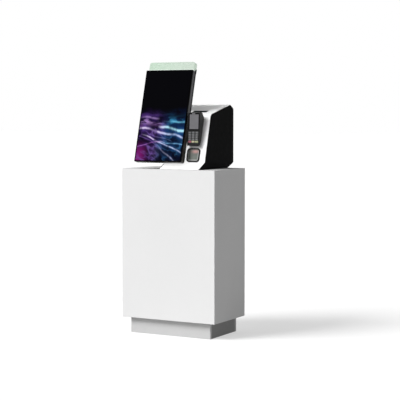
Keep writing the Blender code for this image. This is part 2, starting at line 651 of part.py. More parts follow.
add("display_glass", stack([drr(0, 0.0035, -0.0030), drr(0, 0.0035, -0.0006), drr(0.0006, 0.003, 0.0)]),
    "glass_black", matrix=DSP)
add("display_frame", torus_of([drr(0.0074, 0.001, -0.0283), drr(0.0006, 0.003, -0.0283),
                               drr(0.0006, 0.003, -0.0033), drr(0.0074, 0.001, -0.0033)]),
    "frame_grey", matrix=DSP)
add("display_panel", stack([drr(0.0077, 0.001, -0.0133), drr(0.0077, 0.001, -0.0033)]),
    "pc_grey", matrix=DSP)
back = add("display_back_cover", stack([drr(0.0040, 0.006, -DISP_T), drr(0.0016, 0.004, -DISP_T + 0.0012),
                                        drr(0.0010, 0.003, -DISP_T + 0.0030), drr(0.0010, 0.003, -0.0286)]),
    "plastic_black", matrix=DSP)
# its lower rear edge is cut away, clear of the head's toe
heel = [(-0.0100, -0.0193), (-0.0100, -0.0600), (0.0258, -0.0600)]
boolean(back, guide("cut_heel", stack([[(x, v, n) for v, n in heel] for x in (-0.010, DISP_W + 0.010)]), DSP))
# its upper rear edge rises in a low ledge that the status light stands in front of
ledge = [(DISP_H - 0.010, -DISP_T), (DISP_H + 0.0130, -DISP_T), (DISP_H + 0.0135, -DISP_T + 0.0006),
         (DISP_H + 0.0045, -0.0288), (DISP_H - 0.010, -0.0288)]
boolean(back, guide("add_ledge", stack([[(x, v, n) for v, n in ledge] for x in (0.0012, DISP_W - 0.0012)]), DSP), 'UNION')
brk = add("display_bracket", box((0.086, 0.090, -DISP_T - 0.0033), (0.246, 0.232, -DISP_T - 0.0003)), "steel_plate", matrix=DSP)
DINV = DSP.inverted()


def disp_vn(y, z):
    """World (y, z) to the display's own (v, n)."""
    p = DINV @ Vector((0, y, z))
    return (p.y, p.z)


# the boss fills the wedge between the plate and the head's front slope
boss = [disp_vn(*on_front(0.112, GAP)), disp_vn(*on_front(0.220, GAP)), (0.222, -DISP_T - 0.0020), (0.108, -DISP_T - 0.0020)]
boolean(brk, guide("add_boss", stack([[(x, v, n) for v, n in boss] for x in (0.174, 0.245)]), DSP), 'UNION')

# status light: a hollow cap over a strip of diodes
LX0, LX1 = 0.0075, DISP_W - 0.0014
LV0, LV1 = DISP_H - 0.0003, DISP_H + 0.0495
LN0, LN1 = -0.0430, -0.0130
LIGHT_R = 0.013


def cap_outline(inset, low):
    r = LIGHT_R - inset
    pts = [(LX0 + inset, low), (LX1 - inset, low)]
    for k, cx in ((0, LX1 - LIGHT_R), (1, LX0 + LIGHT_R)):
        for i in range(6):
            a = math.pi / 2 * (k + i / 5)
            pts.append((cx + r * math.cos(a), LV1 - LIGHT_R + r * math.sin(a)))
    return pts


cap = add("status_light_cover", stack([at_z(cap_outline(0.0006, LV0), LN0), at_z(cap_outline(0, LV0), LN0 + 0.0006),
                                       at_z(cap_outline(0, LV0), LN1 - 0.0006), at_z(cap_outline(0.0006, LV0), LN1)]),
          "diffuser_green", matrix=DSP)
boolean(cap, guide("cut_cap", stack([at_z(cap_outline(0.0022, LV0 - 0.01), LN0 + 0.0022),
                                     at_z(cap_outline(0.0022, LV0 - 0.01), LN1 - 0.0022)]), DSP))
notch = [(DISP_H - 0.030, -0.0600), (DISP_H + 0.0237, -0.0600), (DISP_H + 0.0047, -0.0284), (DISP_H - 0.030, -0.0284)]
boolean(cap, guide("cut_notch", stack([[(x, v, n) for v, n in notch] for x in (-0.010, DISP_W + 0.010)]), DSP))
add("status_light_board", box((0.012, LV0 + 0.0001, -0.0275), (DISP_W - 0.010, LV0 + 0.0018, -0.0191)),
    "board_green", matrix=DSP)
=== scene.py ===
"""Looks for the self-service kiosk: fine meshes, finishes, light and camera.

Frame: metres, +Z up, the front faces -Y, +X is the viewer's right when
standing in front of the kiosk.  The shapes repeat the part's own driving
dimensions, with finer edges and the small features a real one shows.
"""
import json
import math

import bmesh
import bpy
from mathutils import Matrix, Vector

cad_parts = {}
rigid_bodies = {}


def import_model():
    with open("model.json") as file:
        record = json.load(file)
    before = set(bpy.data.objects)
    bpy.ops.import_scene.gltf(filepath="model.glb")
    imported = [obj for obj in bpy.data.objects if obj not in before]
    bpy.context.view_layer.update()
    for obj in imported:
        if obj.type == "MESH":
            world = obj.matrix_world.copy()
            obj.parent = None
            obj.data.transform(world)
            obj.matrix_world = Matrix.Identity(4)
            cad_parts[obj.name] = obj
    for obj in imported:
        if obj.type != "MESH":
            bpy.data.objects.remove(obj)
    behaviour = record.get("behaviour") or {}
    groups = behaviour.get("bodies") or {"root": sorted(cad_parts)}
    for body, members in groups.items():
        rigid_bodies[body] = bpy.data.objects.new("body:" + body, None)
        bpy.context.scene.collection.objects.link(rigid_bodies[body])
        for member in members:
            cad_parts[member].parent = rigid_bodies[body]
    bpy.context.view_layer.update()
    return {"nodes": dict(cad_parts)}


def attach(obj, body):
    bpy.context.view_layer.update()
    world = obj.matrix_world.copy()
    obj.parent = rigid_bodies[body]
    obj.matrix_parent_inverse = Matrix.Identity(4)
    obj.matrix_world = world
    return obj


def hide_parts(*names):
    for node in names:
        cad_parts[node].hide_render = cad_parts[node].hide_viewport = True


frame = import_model()
scene = bpy.context.scene
NODES = frame["nodes"]

# ------------------------------------------------------------------ camera
cam_data = bpy.data.cameras.new("camera")
cam = bpy.data.objects.new("camera", cam_data)
scene.collection.objects.link(cam)
scene.camera = cam
cam_data.sensor_width = 36.0
cam_data.lens = 115.72
cam_data.clip_start, cam_data.clip_end = 0.1, 100.0
AZ, PITCH = math.radians(28.93), math.radians(3.915)
look = Vector((-math.sin(AZ) * math.cos(PITCH), math.cos(AZ) * math.cos(PITCH), -math.sin(PITCH)))
cam.location = (3.47227, -6.09792, 1.20625)
cam.rotation_mode = 'QUATERNION'
cam.rotation_quaternion = look.to_track_quat('-Z', 'Y')

# ------------------------------------------------------------------- light
scene.view_settings.view_transform = 'Standard'
scene.view_settings.look = 'None'
scene.view_settings.exposure = 0.0
scene.view_settings.gamma = 1.0

world = bpy.data.worlds.new("studio")
scene.world = world
world.use_nodes = True
wt = world.node_tree
wt.nodes.clear()
w_out = wt.nodes.new('ShaderNodeOutputWorld')
w_mix = wt.nodes.new('ShaderNodeMixShader')
w_path = wt.nodes.new('ShaderNodeLightPath')
w_amb = wt.nodes.new('ShaderNodeBackground')
w_amb.inputs['Color'].default_value = (1, 1, 1, 1)
w_amb.inputs['Strength'].default_value = 0.23
w_see = wt.nodes.new('ShaderNodeBackground')
w_see.inputs['Color'].default_value = (1, 1, 1, 1)
w_see.inputs['Strength'].default_value = 1.0
wt.links.new(w_path.outputs['Is Camera Ray'], w_mix.inputs[0])
wt.links.new(w_amb.outputs[0], w_mix.inputs[1])
wt.links.new(w_see.outputs[0], w_mix.inputs[2])
wt.links.new(w_mix.outputs[0], w_out.inputs['Surface'])


def sun(name, direction, strength, angle):
    ld = bpy.data.lights.new(name, 'SUN')
    ld.energy = strength
    ld.angle = math.radians(angle)
    ob = bpy.data.objects.new(name, ld)
    scene.collection.objects.link(ob)
    ob.rotation_mode = 'QUATERNION'
    ob.rotation_quaternion = Vector(direction).to_track_quat('-Z', 'Y')
    return ob


KEY_DIR = (0.55, 0.66, -0.84)
KEY, FILL = 3.03, 0.9
key = sun("key", KEY_DIR, KEY, 26)                  # main softbox
key_front = sun("key_front", KEY_DIR, KEY, 26)      # the same light, on the head's front
fill = sun("fill", (0.55, 0.70, -0.70), FILL, 60)   # broad fill without shadows
fill.data.use_shadow = False
front_fill = sun("front_fill", (0.10, 0.95, -0.25), 0.27, 60)
front_fill.data.use_shadow = False
top_fill = sun("top_fill", (0.05, 0.10, -1.0), 0.25, 60)      # lifts the shade on the head's top
top_fill.data.use_shadow = False
back_light = sun("back_light", (0.42, -0.90, -0.30), 1.5, 24)    # soft light for the rear
back_light.visible_glossy = False

# ------------------------------------------------------------------- floor
bm = bmesh.new()
bmesh.ops.create_grid(bm, x_segments=1, y_segments=1, size=60)
me = bpy.data.meshes.new("floor")
bm.to_mesh(me)
bm.free()
floor = bpy.data.objects.new("floor", me)
scene.collection.objects.link(floor)
floor.location = (0, 0, -0.0004)
fm = bpy.data.materials.new("floor")
fm.use_nodes = True
ft = fm.node_tree
ft.nodes.clear()
f_out = ft.nodes.new('ShaderNodeOutputMaterial')
f_mix = ft.nodes.new('ShaderNodeMixShader')
f_path = ft.nodes.new('ShaderNodeLightPath')


def floor_side(albedo, glow):
    """Matt floor with a little light of its own, so its shadows stay pale."""
    d = ft.nodes.new('ShaderNodeBsdfDiffuse')
    d.inputs['Color'].default_value = (albedo, albedo, albedo, 1)
    e = ft.nodes.new('ShaderNodeEmission')
    e.inputs['Strength'].default_value = glow
    s = ft.nodes.new('ShaderNodeAddShader')
    ft.links.new(d.outputs[0], s.inputs[0])
    ft.links.new(e.outputs[0], s.inputs[1])
    return s.outputs[0]


ft.links.new(f_path.outputs['Is Camera Ray'], f_mix.inputs[0])
ft.links.new(floor_side(0.22, 0.22), f_mix.inputs[1])
ft.links.new(floor_side(0.50, 0.50), f_mix.inputs[2])
ft.links.new(f_mix.outputs[0], f_out.inputs['Surface'])
me.materials.append(fm)

# --------------------------------------------------------------- materials


def lin(c):
    c = c / 255.0
    return c / 12.92 if c <= 0.04045 else ((c + 0.055) / 1.055) ** 2.4


def rgb(r, g=None, b=None):
    if g is None:
        g = b = r
    return (lin(r), lin(g), lin(b), 1.0)


class Tree:
    """Small helper round one material's node tree."""

    def __init__(self, name):
        self.m = bpy.data.materials.new(name)
        self.m.use_nodes = True
        self.t = self.m.node_tree
        self.t.nodes.clear()
        self.out = self.t.nodes.new('ShaderNodeOutputMaterial')
        self.b = self.t.nodes.new('ShaderNodeBsdfPrincipled')
        self.t.links.new(self.b.outputs[0], self.out.inputs['Surface'])
        self._co = None

    def co(self):
        if self._co is None:
            self._co = self.t.nodes.new('ShaderNodeTexCoord').outputs['Object']
        return self._co

    def node(self, kind, **props):
        n = self.t.nodes.new(kind)
        for k, v in props.items():
            setattr(n, k, v)
        return n

    def link(self, a, b):
        self.t.links.new(a, b)

    def xyz(self):
        n = self.node('ShaderNodeSeparateXYZ')
        self.link(self.co(), n.inputs[0])
        return n.outputs[0], n.outputs[1], n.outputs[2]

    def vec(self, x, y, z):
        n = self.node('ShaderNodeCombineXYZ')
        for s, v in zip(n.inputs, (x, y, z)):
            if isinstance(v, (int, float)):
                s.default_value = v
            else:
                self.link(v, s)
        return n.outputs[0]

    def mapping(self, scale=(1, 1, 1), rot=(0, 0, 0), loc=(0, 0, 0)):
        n = self.node('ShaderNodeMapping')
        n.inputs['Scale'].default_value = scale
        n.inputs['Rotation'].default_value = rot
        n.inputs['Location'].default_value = loc
        self.link(self.co(), n.inputs['Vector'])
        return n.outputs[0]

    def noise(self, scale, detail=2.0, rough=0.5, co=None, dist=0.0):
        n = self.node('ShaderNodeTexNoise')
        n.inputs['Scale'].default_value = scale
        n.inputs['Detail'].default_value = detail
        n.inputs['Roughness'].default_value = rough
        n.inputs['Distortion'].default_value = dist
        self.link(co or self.co(), n.inputs['Vector'])
        return n.outputs['Fac']

    def range(self, value, lo, hi, a, b, smooth=False):
        n = self.node('ShaderNodeMapRange')
        n.interpolation_type = 'SMOOTHSTEP' if smooth else 'LINEAR'
        n.inputs['From Min'].default_value = lo
        n.inputs['From Max'].default_value = hi
        n.inputs['To Min'].default_value = a
        n.inputs['To Max'].default_value = b
        self.link(value, n.inputs['Value'])
        return n.outputs['Result']

    def ramp(self, value, stops, interp='LINEAR'):
        n = self.node('ShaderNodeValToRGB')
        cr = n.color_ramp
        cr.interpolation = interp
        while len(cr.elements) < len(stops):
            cr.elements.new(0.5)
        for e, (p, c) in zip(cr.elements, stops):
            e.position = p
            e.color = c
        self.link(value, n.inputs['Fac'])
        return n.outputs['Color']

    def math(self, op, a, b=None, c=None, clamp=False):
        n = self.node('ShaderNodeMath', operation=op, use_clamp=clamp)
        for i, v in enumerate((a, b, c)):
            if v is None:
                continue
            if isinstance(v, (int, float)):
                n.inputs[i].default_value = v
            else:
                self.link(v, n.inputs[i])
        return n.outputs[0]

    def mix(self, fac, a, b, mode='MIX'):
        n = self.node('ShaderNodeMix', data_type='RGBA', blend_type=mode)
        for sock, v in ((n.inputs[0], fac), (n.inputs[6], a), (n.inputs[7], b)):
            if isinstance(v, (int, float, tuple)):
                sock.default_value = v
            else:
                self.link(v, sock)
        return n.outputs[2]

    def bump(self, height, distance, strength=1.0, normal=None):
        n = self.node('ShaderNodeBump')
        n.inputs['Strength'].default_value = strength
        n.inputs['Distance'].default_value = distance
        self.link(height, n.inputs['Height'])
        if normal is not None:
            self.link(normal, n.inputs['Normal'])
        return n.outputs['Normal']

    def lit_and_worn_edges(self, colour, light, amount=0.5):
        """Painted highlight on convex edges: lighten them a little, unevenly, partly as handling wear does."""
        g = self.node('ShaderNodeNewGeometry')
        edge = self.range(g.outputs['Pointiness'], 0.52, 0.60, 0.0, amount, True)
        edge = self.math('MULTIPLY', edge, self.range(self.noise(45, 3), 0.35, 0.65, 0.2, 1.0))
        return self.mix(edge, colour, light)


M = {}


def moulded(name, colour, rough=0.4, metal=0.0, grain=900.0, depth=0.00004, vary=0.03,
            rough_vary=0.06, spec=0.5, cloud=6.0, coat=0.0, edge=None, specks=0.0):
    """Painted or moulded surface: tone clouds, fine grain, uneven gloss."""
    t = Tree(name)
    base = Vector(colour[:3])
    lo = tuple(base * (1 - vary)) + (1.0,)
    hi = tuple(Vector([min(1, v * (1 + vary * 0.6)) for v in base])) + (1.0,)
    col = t.ramp(t.noise(cloud, 4.0, 0.6), [(0.3, lo), (0.7, hi)])
    if specks:
        fleck = t.range(t.noise(grain * 0.5, 1.0, 0.5), 0.62, 0.72, 0.0, specks, True)
        col = t.mix(fleck, col, tuple(base * 2.2 + Vector((.004, .004, .004))) + (1.0,))
    if edge:
        # convex edges lightened: painted highlight, partly handling wear
        col = t.lit_and_worn_edges(col, edge)
    t.link(col, t.b.inputs['Base Color'])
    t.link(t.range(t.noise(cloud * 9, 4.0, 0.6), 0.25, 0.75, rough - rough_vary, rough + rough_vary),
           t.b.inputs['Roughness'])
    t.link(t.bump(t.noise(grain, 2.0, 0.6), depth), t.b.inputs['Normal'])
    t.b.inputs['Metallic'].default_value = metal
    t.b.inputs['Specular IOR Level'].default_value = spec
    t.b.inputs['Coat Weight'].default_value = coat
    t.b.inputs['Coat Roughness'].default_value = 0.12
    M[name] = t.m
    return t


def lacquered(name, colour, rough=0.34):
    """Sprayed lacquer on board: orange peel, faint tone drift, fine dust."""
    t = Tree(name)
    base = Vector(colour[:3])
    drift = t.ramp(t.noise(2.2, 5.0, 0.55), [(0.3, tuple(base * 0.975) + (1,)), (0.7, tuple(base * 1.01) + (1,))])
    dust = t.range(t.noise(140, 6.0, 0.75), 0.30, 0.75, 0.0, 0.05)
    col = t.mix(dust, drift, tuple(base * 0.86) + (1,))
    # convex edges lightened: painted highlight, partly handling wear
    col = t.lit_and_worn_edges(col, tuple(base * 1.06) + (1,), 0.6)
    t.link(col, t.b.inputs['Base Color'])
    t.link(t.range(t.noise(38, 5.0, 0.6), 0.3, 0.7, rough - 0.05, rough + 0.07), t.b.inputs['Roughness'])
    peel = t.bump(t.noise(330, 2.0, 0.45), 0.00002, 0.8)
    t.link(t.bump(t.noise(6, 2.0, 0.4), 0.0002, 0.12, peel), t.b.inputs['Normal'])
    t.b.inputs['Specular IOR Level'].default_value = 0.22
    M[name] = t.m
    return t


def metal(name, colour, rough, slot, brushed=(1, 1, 30), depth=0.00001, vary=0.1):
    """Bare metal with a brushed direction and cloudy roughness."""
    t = Tree(name)
    base = Vector(colour[:3])
    lines = t.noise(60, 4.0, 0.65, co=t.mapping(scale=brushed))
    col = t.ramp(lines, [(0.25, tuple(base * (1 - vary)) + (1,)), (0.75, tuple(base * (1 + vary * 0.5)) + (1,))])
    t.link(col, t.b.inputs['Base Color'])
    t.link(t.range(lines, 0.2, 0.8, rough - 0.07, rough + 0.1), t.b.inputs['Roughness'])
    t.link(t.bump(lines, depth), t.b.inputs['Normal'])
    t.b.inputs['Metallic'].default_value = 1.0
    M[name] = t.m
    return t


lacquered("lacquer_white", rgb(233))
lacquered("lacquer_plinth", rgb(205), 0.42)
# painted shade: a darker copy of the plinth lacquer for the shadowed side rails
lacquered("lacquer_plinth_painted_shade", rgb(156), 0.42)
lacquered("cover_white", rgb(238), 0.34)
moulded("panel_black", rgb(9, 9, 10), 0.55, grain=1500, depth=0.00004, vary=0.12, spec=0.06, specks=0.2)
moulded("plastic_black", rgb(13, 13, 14), 0.5, grain=1400, depth=0.00005, vary=0.1, spec=0.12, specks=0.2,
        edge=rgb(36))

td = moulded("terminal_dark", rgb(24, 24, 25), 0.44, grain=1300, depth=0.00005, vary=0.08, spec=0.2, specks=0.15)
# black face, charcoal housing behind it
z_td = td.xyz()[2]
face = td.range(z_td, -0.0045, -0.0030, 0.0, 1.0)
shell = td.mix(td.noise(60, 4.0, 0.6), rgb(64, 64, 62), rgb(76, 75, 74))
black = td.mix(td.noise(40, 4.0, 0.6), rgb(19, 19, 20), rgb(27, 27, 28))
# convex edges lightened: painted highlight, partly handling wear
td.link(td.lit_and_worn_edges(td.mix(face, shell, black), rgb(70), 0.5), td.b.inputs['Base Color'])
moulded("bezel_black", rgb(10, 10, 11), 0.36, grain=900, depth=0.00002, vary=0.1, spec=0.12,
        edge=rgb(26))
moulded("rubber_black", rgb(20), 0.8, grain=1100, depth=0.00008, vary=0.15, spec=0.3, specks=0.2)
moulded("board_green", rgb(26, 84, 56), 0.45, grain=700, depth=0.00003, vary=0.12)
moulded("pc_grey", rgb(92, 94, 98), 0.45, metal=0.6, grain=900, depth=0.00003, vary=0.08)
moulded("led_white", rgb(235, 238, 225), 0.4, grain=1500, depth=0.00002)
moulded("wire_black", rgb(28), 0.55, grain=900, depth=0.00004)
metal("steel_plate", rgb(150, 152, 154), 0.42, "steel_plate", (1, 14, 1))
metal("steel_bright", rgb(200, 200, 202), 0.24, "steel_bright", (30, 1, 1))
metal("zinc_screw", rgb(176, 178, 182), 0.3, "steel_bright", (1, 1, 1), 0.00002)

fg = moulded("frame_grey", rgb(120, 120, 123), 0.42, metal=0.2, grain=1500, depth=0.00002, vary=0.06)
# satin grey sides, darker brown-grey towards the bottom, black further back and along the bottom edge
y_fg = fg.xyz()[1]
satin = fg.mix(fg.noise(90, 4.0, 0.6, co=fg.mapping(scale=(1, 1, 30))), rgb(112, 112, 115), rgb(128, 128, 131))
satin = fg.mix(fg.range(y_fg, 0.20, 0.36, 0.0, 1.0, True), rgb(66, 62, 58), satin)
n_fg = fg.xyz()[2]
satin = fg.mix(fg.range(n_fg, -0.0098, -0.0078, 0.0, 1.0, True), satin, rgb(12))
fg.link(fg.mix(fg.range(y_fg, 0.0030, 0.0045, 0.0, 1.0), rgb(10), satin), fg.b.inputs['Base Color'])

for key_slot, tone in (("key_grey", (92, 93, 95)), ("key_red", (168, 92, 108)), ("key_yellow", (198, 190, 156)),
                       ("key_green", (172, 176, 136))):
    moulded(key_slot, rgb(*tone), 0.55, grain=2200, depth=0.00004, vary=0.06, cloud=40)
moulded("legend_light", rgb(176, 178, 177), 0.5, grain=2500, depth=0.00001)
moulded("legend_dark", rgb(24, 24, 26), 0.5, grain=2500, depth=0.00001)
moulded("card_brown", rgb(150, 118, 84), 0.8, grain=900, depth=0.00005, vary=0.15)
moulded("tab_grey", rgb(96, 95, 98), 0.35, grain=900, depth=0.00002, vary=0.05)


def light_cap():
    """Frosted pale green acrylic, lit softly from the diodes below."""
    t = Tree("diffuser_green")
    x, y, z = t.xyz()
    tone = t.ramp(t.noise(24, 4.0, 0.6), [(0.3, rgb(104, 122, 107)), (0.7, rgb(112, 130, 115))])
    t.link(tone, t.b.inputs['Base Color'])
    t.link(t.range(t.noise(300, 3.0, 0.6), 0.3, 0.7, 0.30, 0.42), t.b.inputs['Roughness'])
    t.link(t.bump(t.noise(900, 2.0, 0.5), 0.00003), t.b.inputs['Normal'])
    # a pale band low down by the diodes, faint hot spots over each one, and
    # a slightly deeper tone along the thick outer edge
    low = t.range(y, DISP_H + 0.0060, DISP_H + 0.0100, 1.0, 0.0, True)
    beat = t.math('COSINE', t.math('MULTIPLY', x, 2 * math.pi / 0.0115))
    spot = t.math('MULTIPLY', t.range(beat, -0.2, 1.0, 0.80, 1.0, True), low)
    rim = t.math('MAXIMUM', t.range(y, DISP_H + 0.0480, DISP_H + 0.0520, 0.0, 1.0, True),
                 t.range(t.math('ABSOLUTE', t.math('SUBTRACT', x, 0.1454)), 0.1350, 0.1395, 0.0, 1.0, True))
    side = t.range(x, 0.0, DISP_W, 0.0, 1.0)
    glow = t.mix(side, rgb(148, 174, 152), rgb(160, 170, 160))
    glow = t.mix(t.math('MULTIPLY', rim, 0.6), glow, rgb(140, 160, 142))
    t.link(t.mix(spot, glow, rgb(206, 214, 208)), t.b.inputs['Emission Color'])
    t.b.inputs['Emission Strength'].default_value = 1.0
    t.b.inputs['Alpha'].default_value = 0.36
    t.b.inputs['Specular IOR Level'].default_value = 0.3
    M["diffuser_green"] = t.m


def led_glow():
    t = Tree("led_glow")
    x, y, z = t.xyz()
    t.link(t.ramp(t.noise(600, 2.0), [(0.3, rgb(206, 226, 186)), (0.7, rgb(232, 240, 214))]), t.b.inputs['Base Color'])
    t.link(t.range(t.noise(200, 2.0), 0.3, 0.7, 0.3, 0.5), t.b.inputs['Roughness'])
    t.b.inputs['Emission Color'].default_value = rgb(190, 240, 196)
    t.b.inputs['Emission Strength'].default_value = 1.6
    M["led_glow"] = t.m


def screen_picture():
    """Display glass: black border and a generic pattern of drifting light bands."""
    t = Tree("glass_black")
    x, y, z = t.xyz()
    b = 0.0068
    s = t.range(x, b, DISP_W - b, 0.0, 1.0)
    v = t.range(y, b, DISP_H - b, 0.0, 1.0)
    t.t.nodes[s.node.name].clamp = False
    t.t.nodes[v.node.name].clamp = False
    sv = t.vec(s, t.math('MULTIPLY', v, 1.75), 0.0)
    warp = t.noise(2.3, 4.0, 0.55, co=sv)
    warp2 = t.noise(5.5, 3.0, 0.6, co=sv)
    side = t.range(t.math('ADD', s, t.math('MULTIPLY', t.math('SUBTRACT', warp, 0.5), 0.5)), 0.30, 0.66, 0.0, 1.0, True)

    def bell(value, centre, width):
        d = t.math('DIVIDE', t.math('SUBTRACT', value, centre), width)
        return t.math('POWER', math.e, t.math('MULTIPLY', t.math('MULTIPLY', d, d), -1.0))

    # dark ground, violet on one side and blue on the other, magenta low left
    ground = t.mix(side, rgb(34, 6, 58), rgb(5, 24, 56))
    low = t.math('MULTIPLY', t.range(s, 0.05, 0.30, 1.0, 0.0, True), t.range(v, 0.06, 0.24, 1.0, 0.0, True))
    deep = t.range(warp2, 0.47, 0.74, 0.0, 1.0, True)
    ground = t.mix(deep, rgb(5, 3, 20), ground)
    ground = t.mix(low, ground, rgb(116, 24, 104))

    def clouds(centre, spread, seed, lo, hi, gain, tone_l, tone_r):
        """Soft drifting cloud, longer across than it is high."""
        nonlocal col
        cn = t.noise(2.6, 6.0, 0.60, co=t.vec(s, t.math('MULTIPLY', v, 4.6), seed), dist=0.5)
        f = t.math('MULTIPLY', t.range(cn, lo, hi, 0.0, gain, True), bell(v, centre, spread), clamp=True)
        col = t.mix(f, col, t.mix(side, tone_l, tone_r))

    col = ground
    clouds(0.505, 0.045, 3.3, 0.45, 0.66, 0.70, rgb(74, 44, 112), rgb(16, 46, 74))
    clouds(0.440, 0.034, 0.7, 0.47, 0.61, 1.0, rgb(176, 138, 204), rgb(52, 130, 170))
    clouds(0.345, 0.040, 9.1, 0.50, 0.68, 0.80, rgb(132, 74, 154), rgb(34, 86, 130))
    clouds(0.20, 0.110, 6.4, 0.52, 0.74, 0.36, rgb(84, 34, 110), rgb(22, 62, 108))

    # fine dim threads everywhere below the clouds
    def threads(seed, scale, stretch, shear, power, gain, tone_l, tone_r):
        nonlocal col
        w = t.math('MULTIPLY', t.math('ADD', v, t.math('MULTIPLY', s, shear)), stretch)
        n = t.noise(scale, 2.5, 0.5, co=t.vec(s, w, seed), dist=0.25)
        r = t.math('SUBTRACT', 1.0, t.math('MULTIPLY', t.math('ABSOLUTE', t.math('SUBTRACT', n, 0.5)), 2.0), clamp=True)
        f = t.math('MULTIPLY', t.math('POWER', r, power), t.range(t.noise(3.1, 2.0, 0.5, co=t.vec(s, t.math('MULTIPLY', v, 2.0), seed + 5.0)),
                                                                 0.42, 0.62, 0.0, gain, True), clamp=True)
        f = t.math('MULTIPLY', f, t.range(v, 0.36, 0.46, 1.0, 0.0, True))
        col = t.mix(f, col, t.mix(side, tone_l, tone_r))

    threads(21.0, 2.2, 3.4, 0.30, 26.0, 0.75, rgb(128, 96, 176), rgb(70, 134, 184))
    threads(37.0, 3.4, 3.0, 0.10, 20.0, 0.55, rgb(104, 70, 150), rgb(50, 104, 158))

    def band(c0, slope, bend, amp, freq, phase, width, seed, lo, hi, gain, tone_l, tone_r):
        """A thin wavy thread of light that brightens and fades along its run."""
        nonlocal col
        line = t.math('ADD', t.math('MULTIPLY', s, slope), c0)
        line = t.math('ADD', line, t.math('MULTIPLY', t.math('MULTIPLY', s, s), bend))
        wave = t.math('MULTIPLY', t.math('SINE', t.math('ADD', t.math('MULTIPLY', s, freq), phase)), amp)
        rough = t.math('MULTIPLY', t.math('SUBTRACT', t.noise(4.2, 3.0, 0.5, co=t.vec(s, seed, seed)), 0.5), amp * 3.2)
        line = t.math('ADD', t.math('ADD', line, wave), rough)
        glow = t.noise(4.6, 2.0, 0.5, co=t.vec(s, seed + 3.1, 0.0))
        on = t.math('MULTIPLY', t.range(s, lo, lo + 0.16, 0.0, 1.0, True), t.range(s, hi - 0.14, hi, 1.0, 0.0, True))
        on = t.math('MULTIPLY', on, t.range(glow, 0.36, 0.60, 0.12, 1.0, True))
        core = t.math('MULTIPLY', bell(v, line, width), t.math('MULTIPLY', on, gain), clamp=True)
        halo = t.math('MULTIPLY', bell(v, line, width * 4.0), t.math('MULTIPLY', on, gain * 0.34), clamp=True)
        tone = t.mix(side, tone_l, tone_r)
        col = t.mix(halo, col, t.mix(side, rgb(92, 60, 160), rgb(30, 88, 156)))
        col = t.mix(core, col, tone)

    pale, icy = rgb(214, 196, 236), rgb(176, 232, 250)
    band(0.352, 0.00, -0.105, 0.012, 8.0, 0.3, 0.0100, 0.4, -0.25, 1.05, 1.5, pale, rgb(186, 204, 244))
    band(0.470, -0.26, 0.130, 0.014, 9.0, 2.0, 0.0120, 2.7, 0.40, 1.30, 1.6, pale, icy)
    band(0.425, -0.04, 0.060, 0.014, 7.0, 3.6, 0.0090, 17.3, 0.50, 1.30, 0.80, pale, rgb(110, 190, 220))
    band(0.470, 0.10, -0.200, 0.012, 9.0, 1.0, 0.0100, 23.9, -0.30, 0.45, 0.70, rgb(172, 140, 200), pale)
    band(0.285, -0.08, -0.130, 0.012, 7.0, 1.2, 0.0070, 5.1, 0.05, 1.05, 1.3, pale, rgb(190, 206, 246))
    band(0.160, 0.16, -0.140, 0.010, 8.5, 4.1, 0.0045, 8.3, -0.25, 0.62, 0.75, rgb(176, 110, 196), pale)
    band(0.250, -0.05, -0.030, 0.010, 9.5, 5.0, 0.0060, 11.9, 0.48, 1.12, 0.9, pale, rgb(120, 178, 222))
    band(0.290, 0.02, -0.170, 0.010, 11.0, 0.6, 0.0045, 29.2, 0.10, 0.80, 0.6, rgb(150, 120, 190), rgb(130, 160, 214))
    band(0.420, -0.56, 0.070, 0.012, 8.0, 0.9, 0.0085, 14.2, 0.46, 0.90, 1.5, pale, rgb(206, 210, 250))
    # the upper part of the picture is nearly black
    up = t.range(t.math('ADD', v, t.math('MULTIPLY', t.math('SUBTRACT', warp, 0.5), 0.10)), 0.50, 0.60, 0.0, 1.0, True)
    col = t.mix(up, col, rgb(3, 3, 6))
    # lit area only, with a crisp edge
    inx = t.math('MULTIPLY', t.range(x, b - 0.0002, b + 0.0002, 0, 1), t.range(x, DISP_W - b - 0.0002, DISP_W - b + 0.0002, 1, 0))
    iny = t.math('MULTIPLY', t.range(y, b - 0.0002, b + 0.0002, 0, 1), t.range(y, DISP_H - b - 0.0002, DISP_H - b + 0.0002, 1, 0))
    front = t.math('GREATER_THAN', z, -0.00035)
    lit = t.math('MULTIPLY', t.math('MULTIPLY', inx, iny), front)
    t.link(t.mix(lit, (0, 0, 0, 1), col), t.b.inputs['Emission Color'])
    t.b.inputs['Emission Strength'].default_value = 1.0
    t.link(t.mix(lit, rgb(5, 5, 6), rgb(4, 4, 5)), t.b.inputs['Base Color'])
    t.link(t.range(t.noise(14, 5.0, 0.7), 0.3, 0.8, 0.04, 0.08), t.b.inputs['Roughness'])
    t.b.inputs['Specular IOR Level'].default_value = 0.08
    M["glass_black"] = t.m


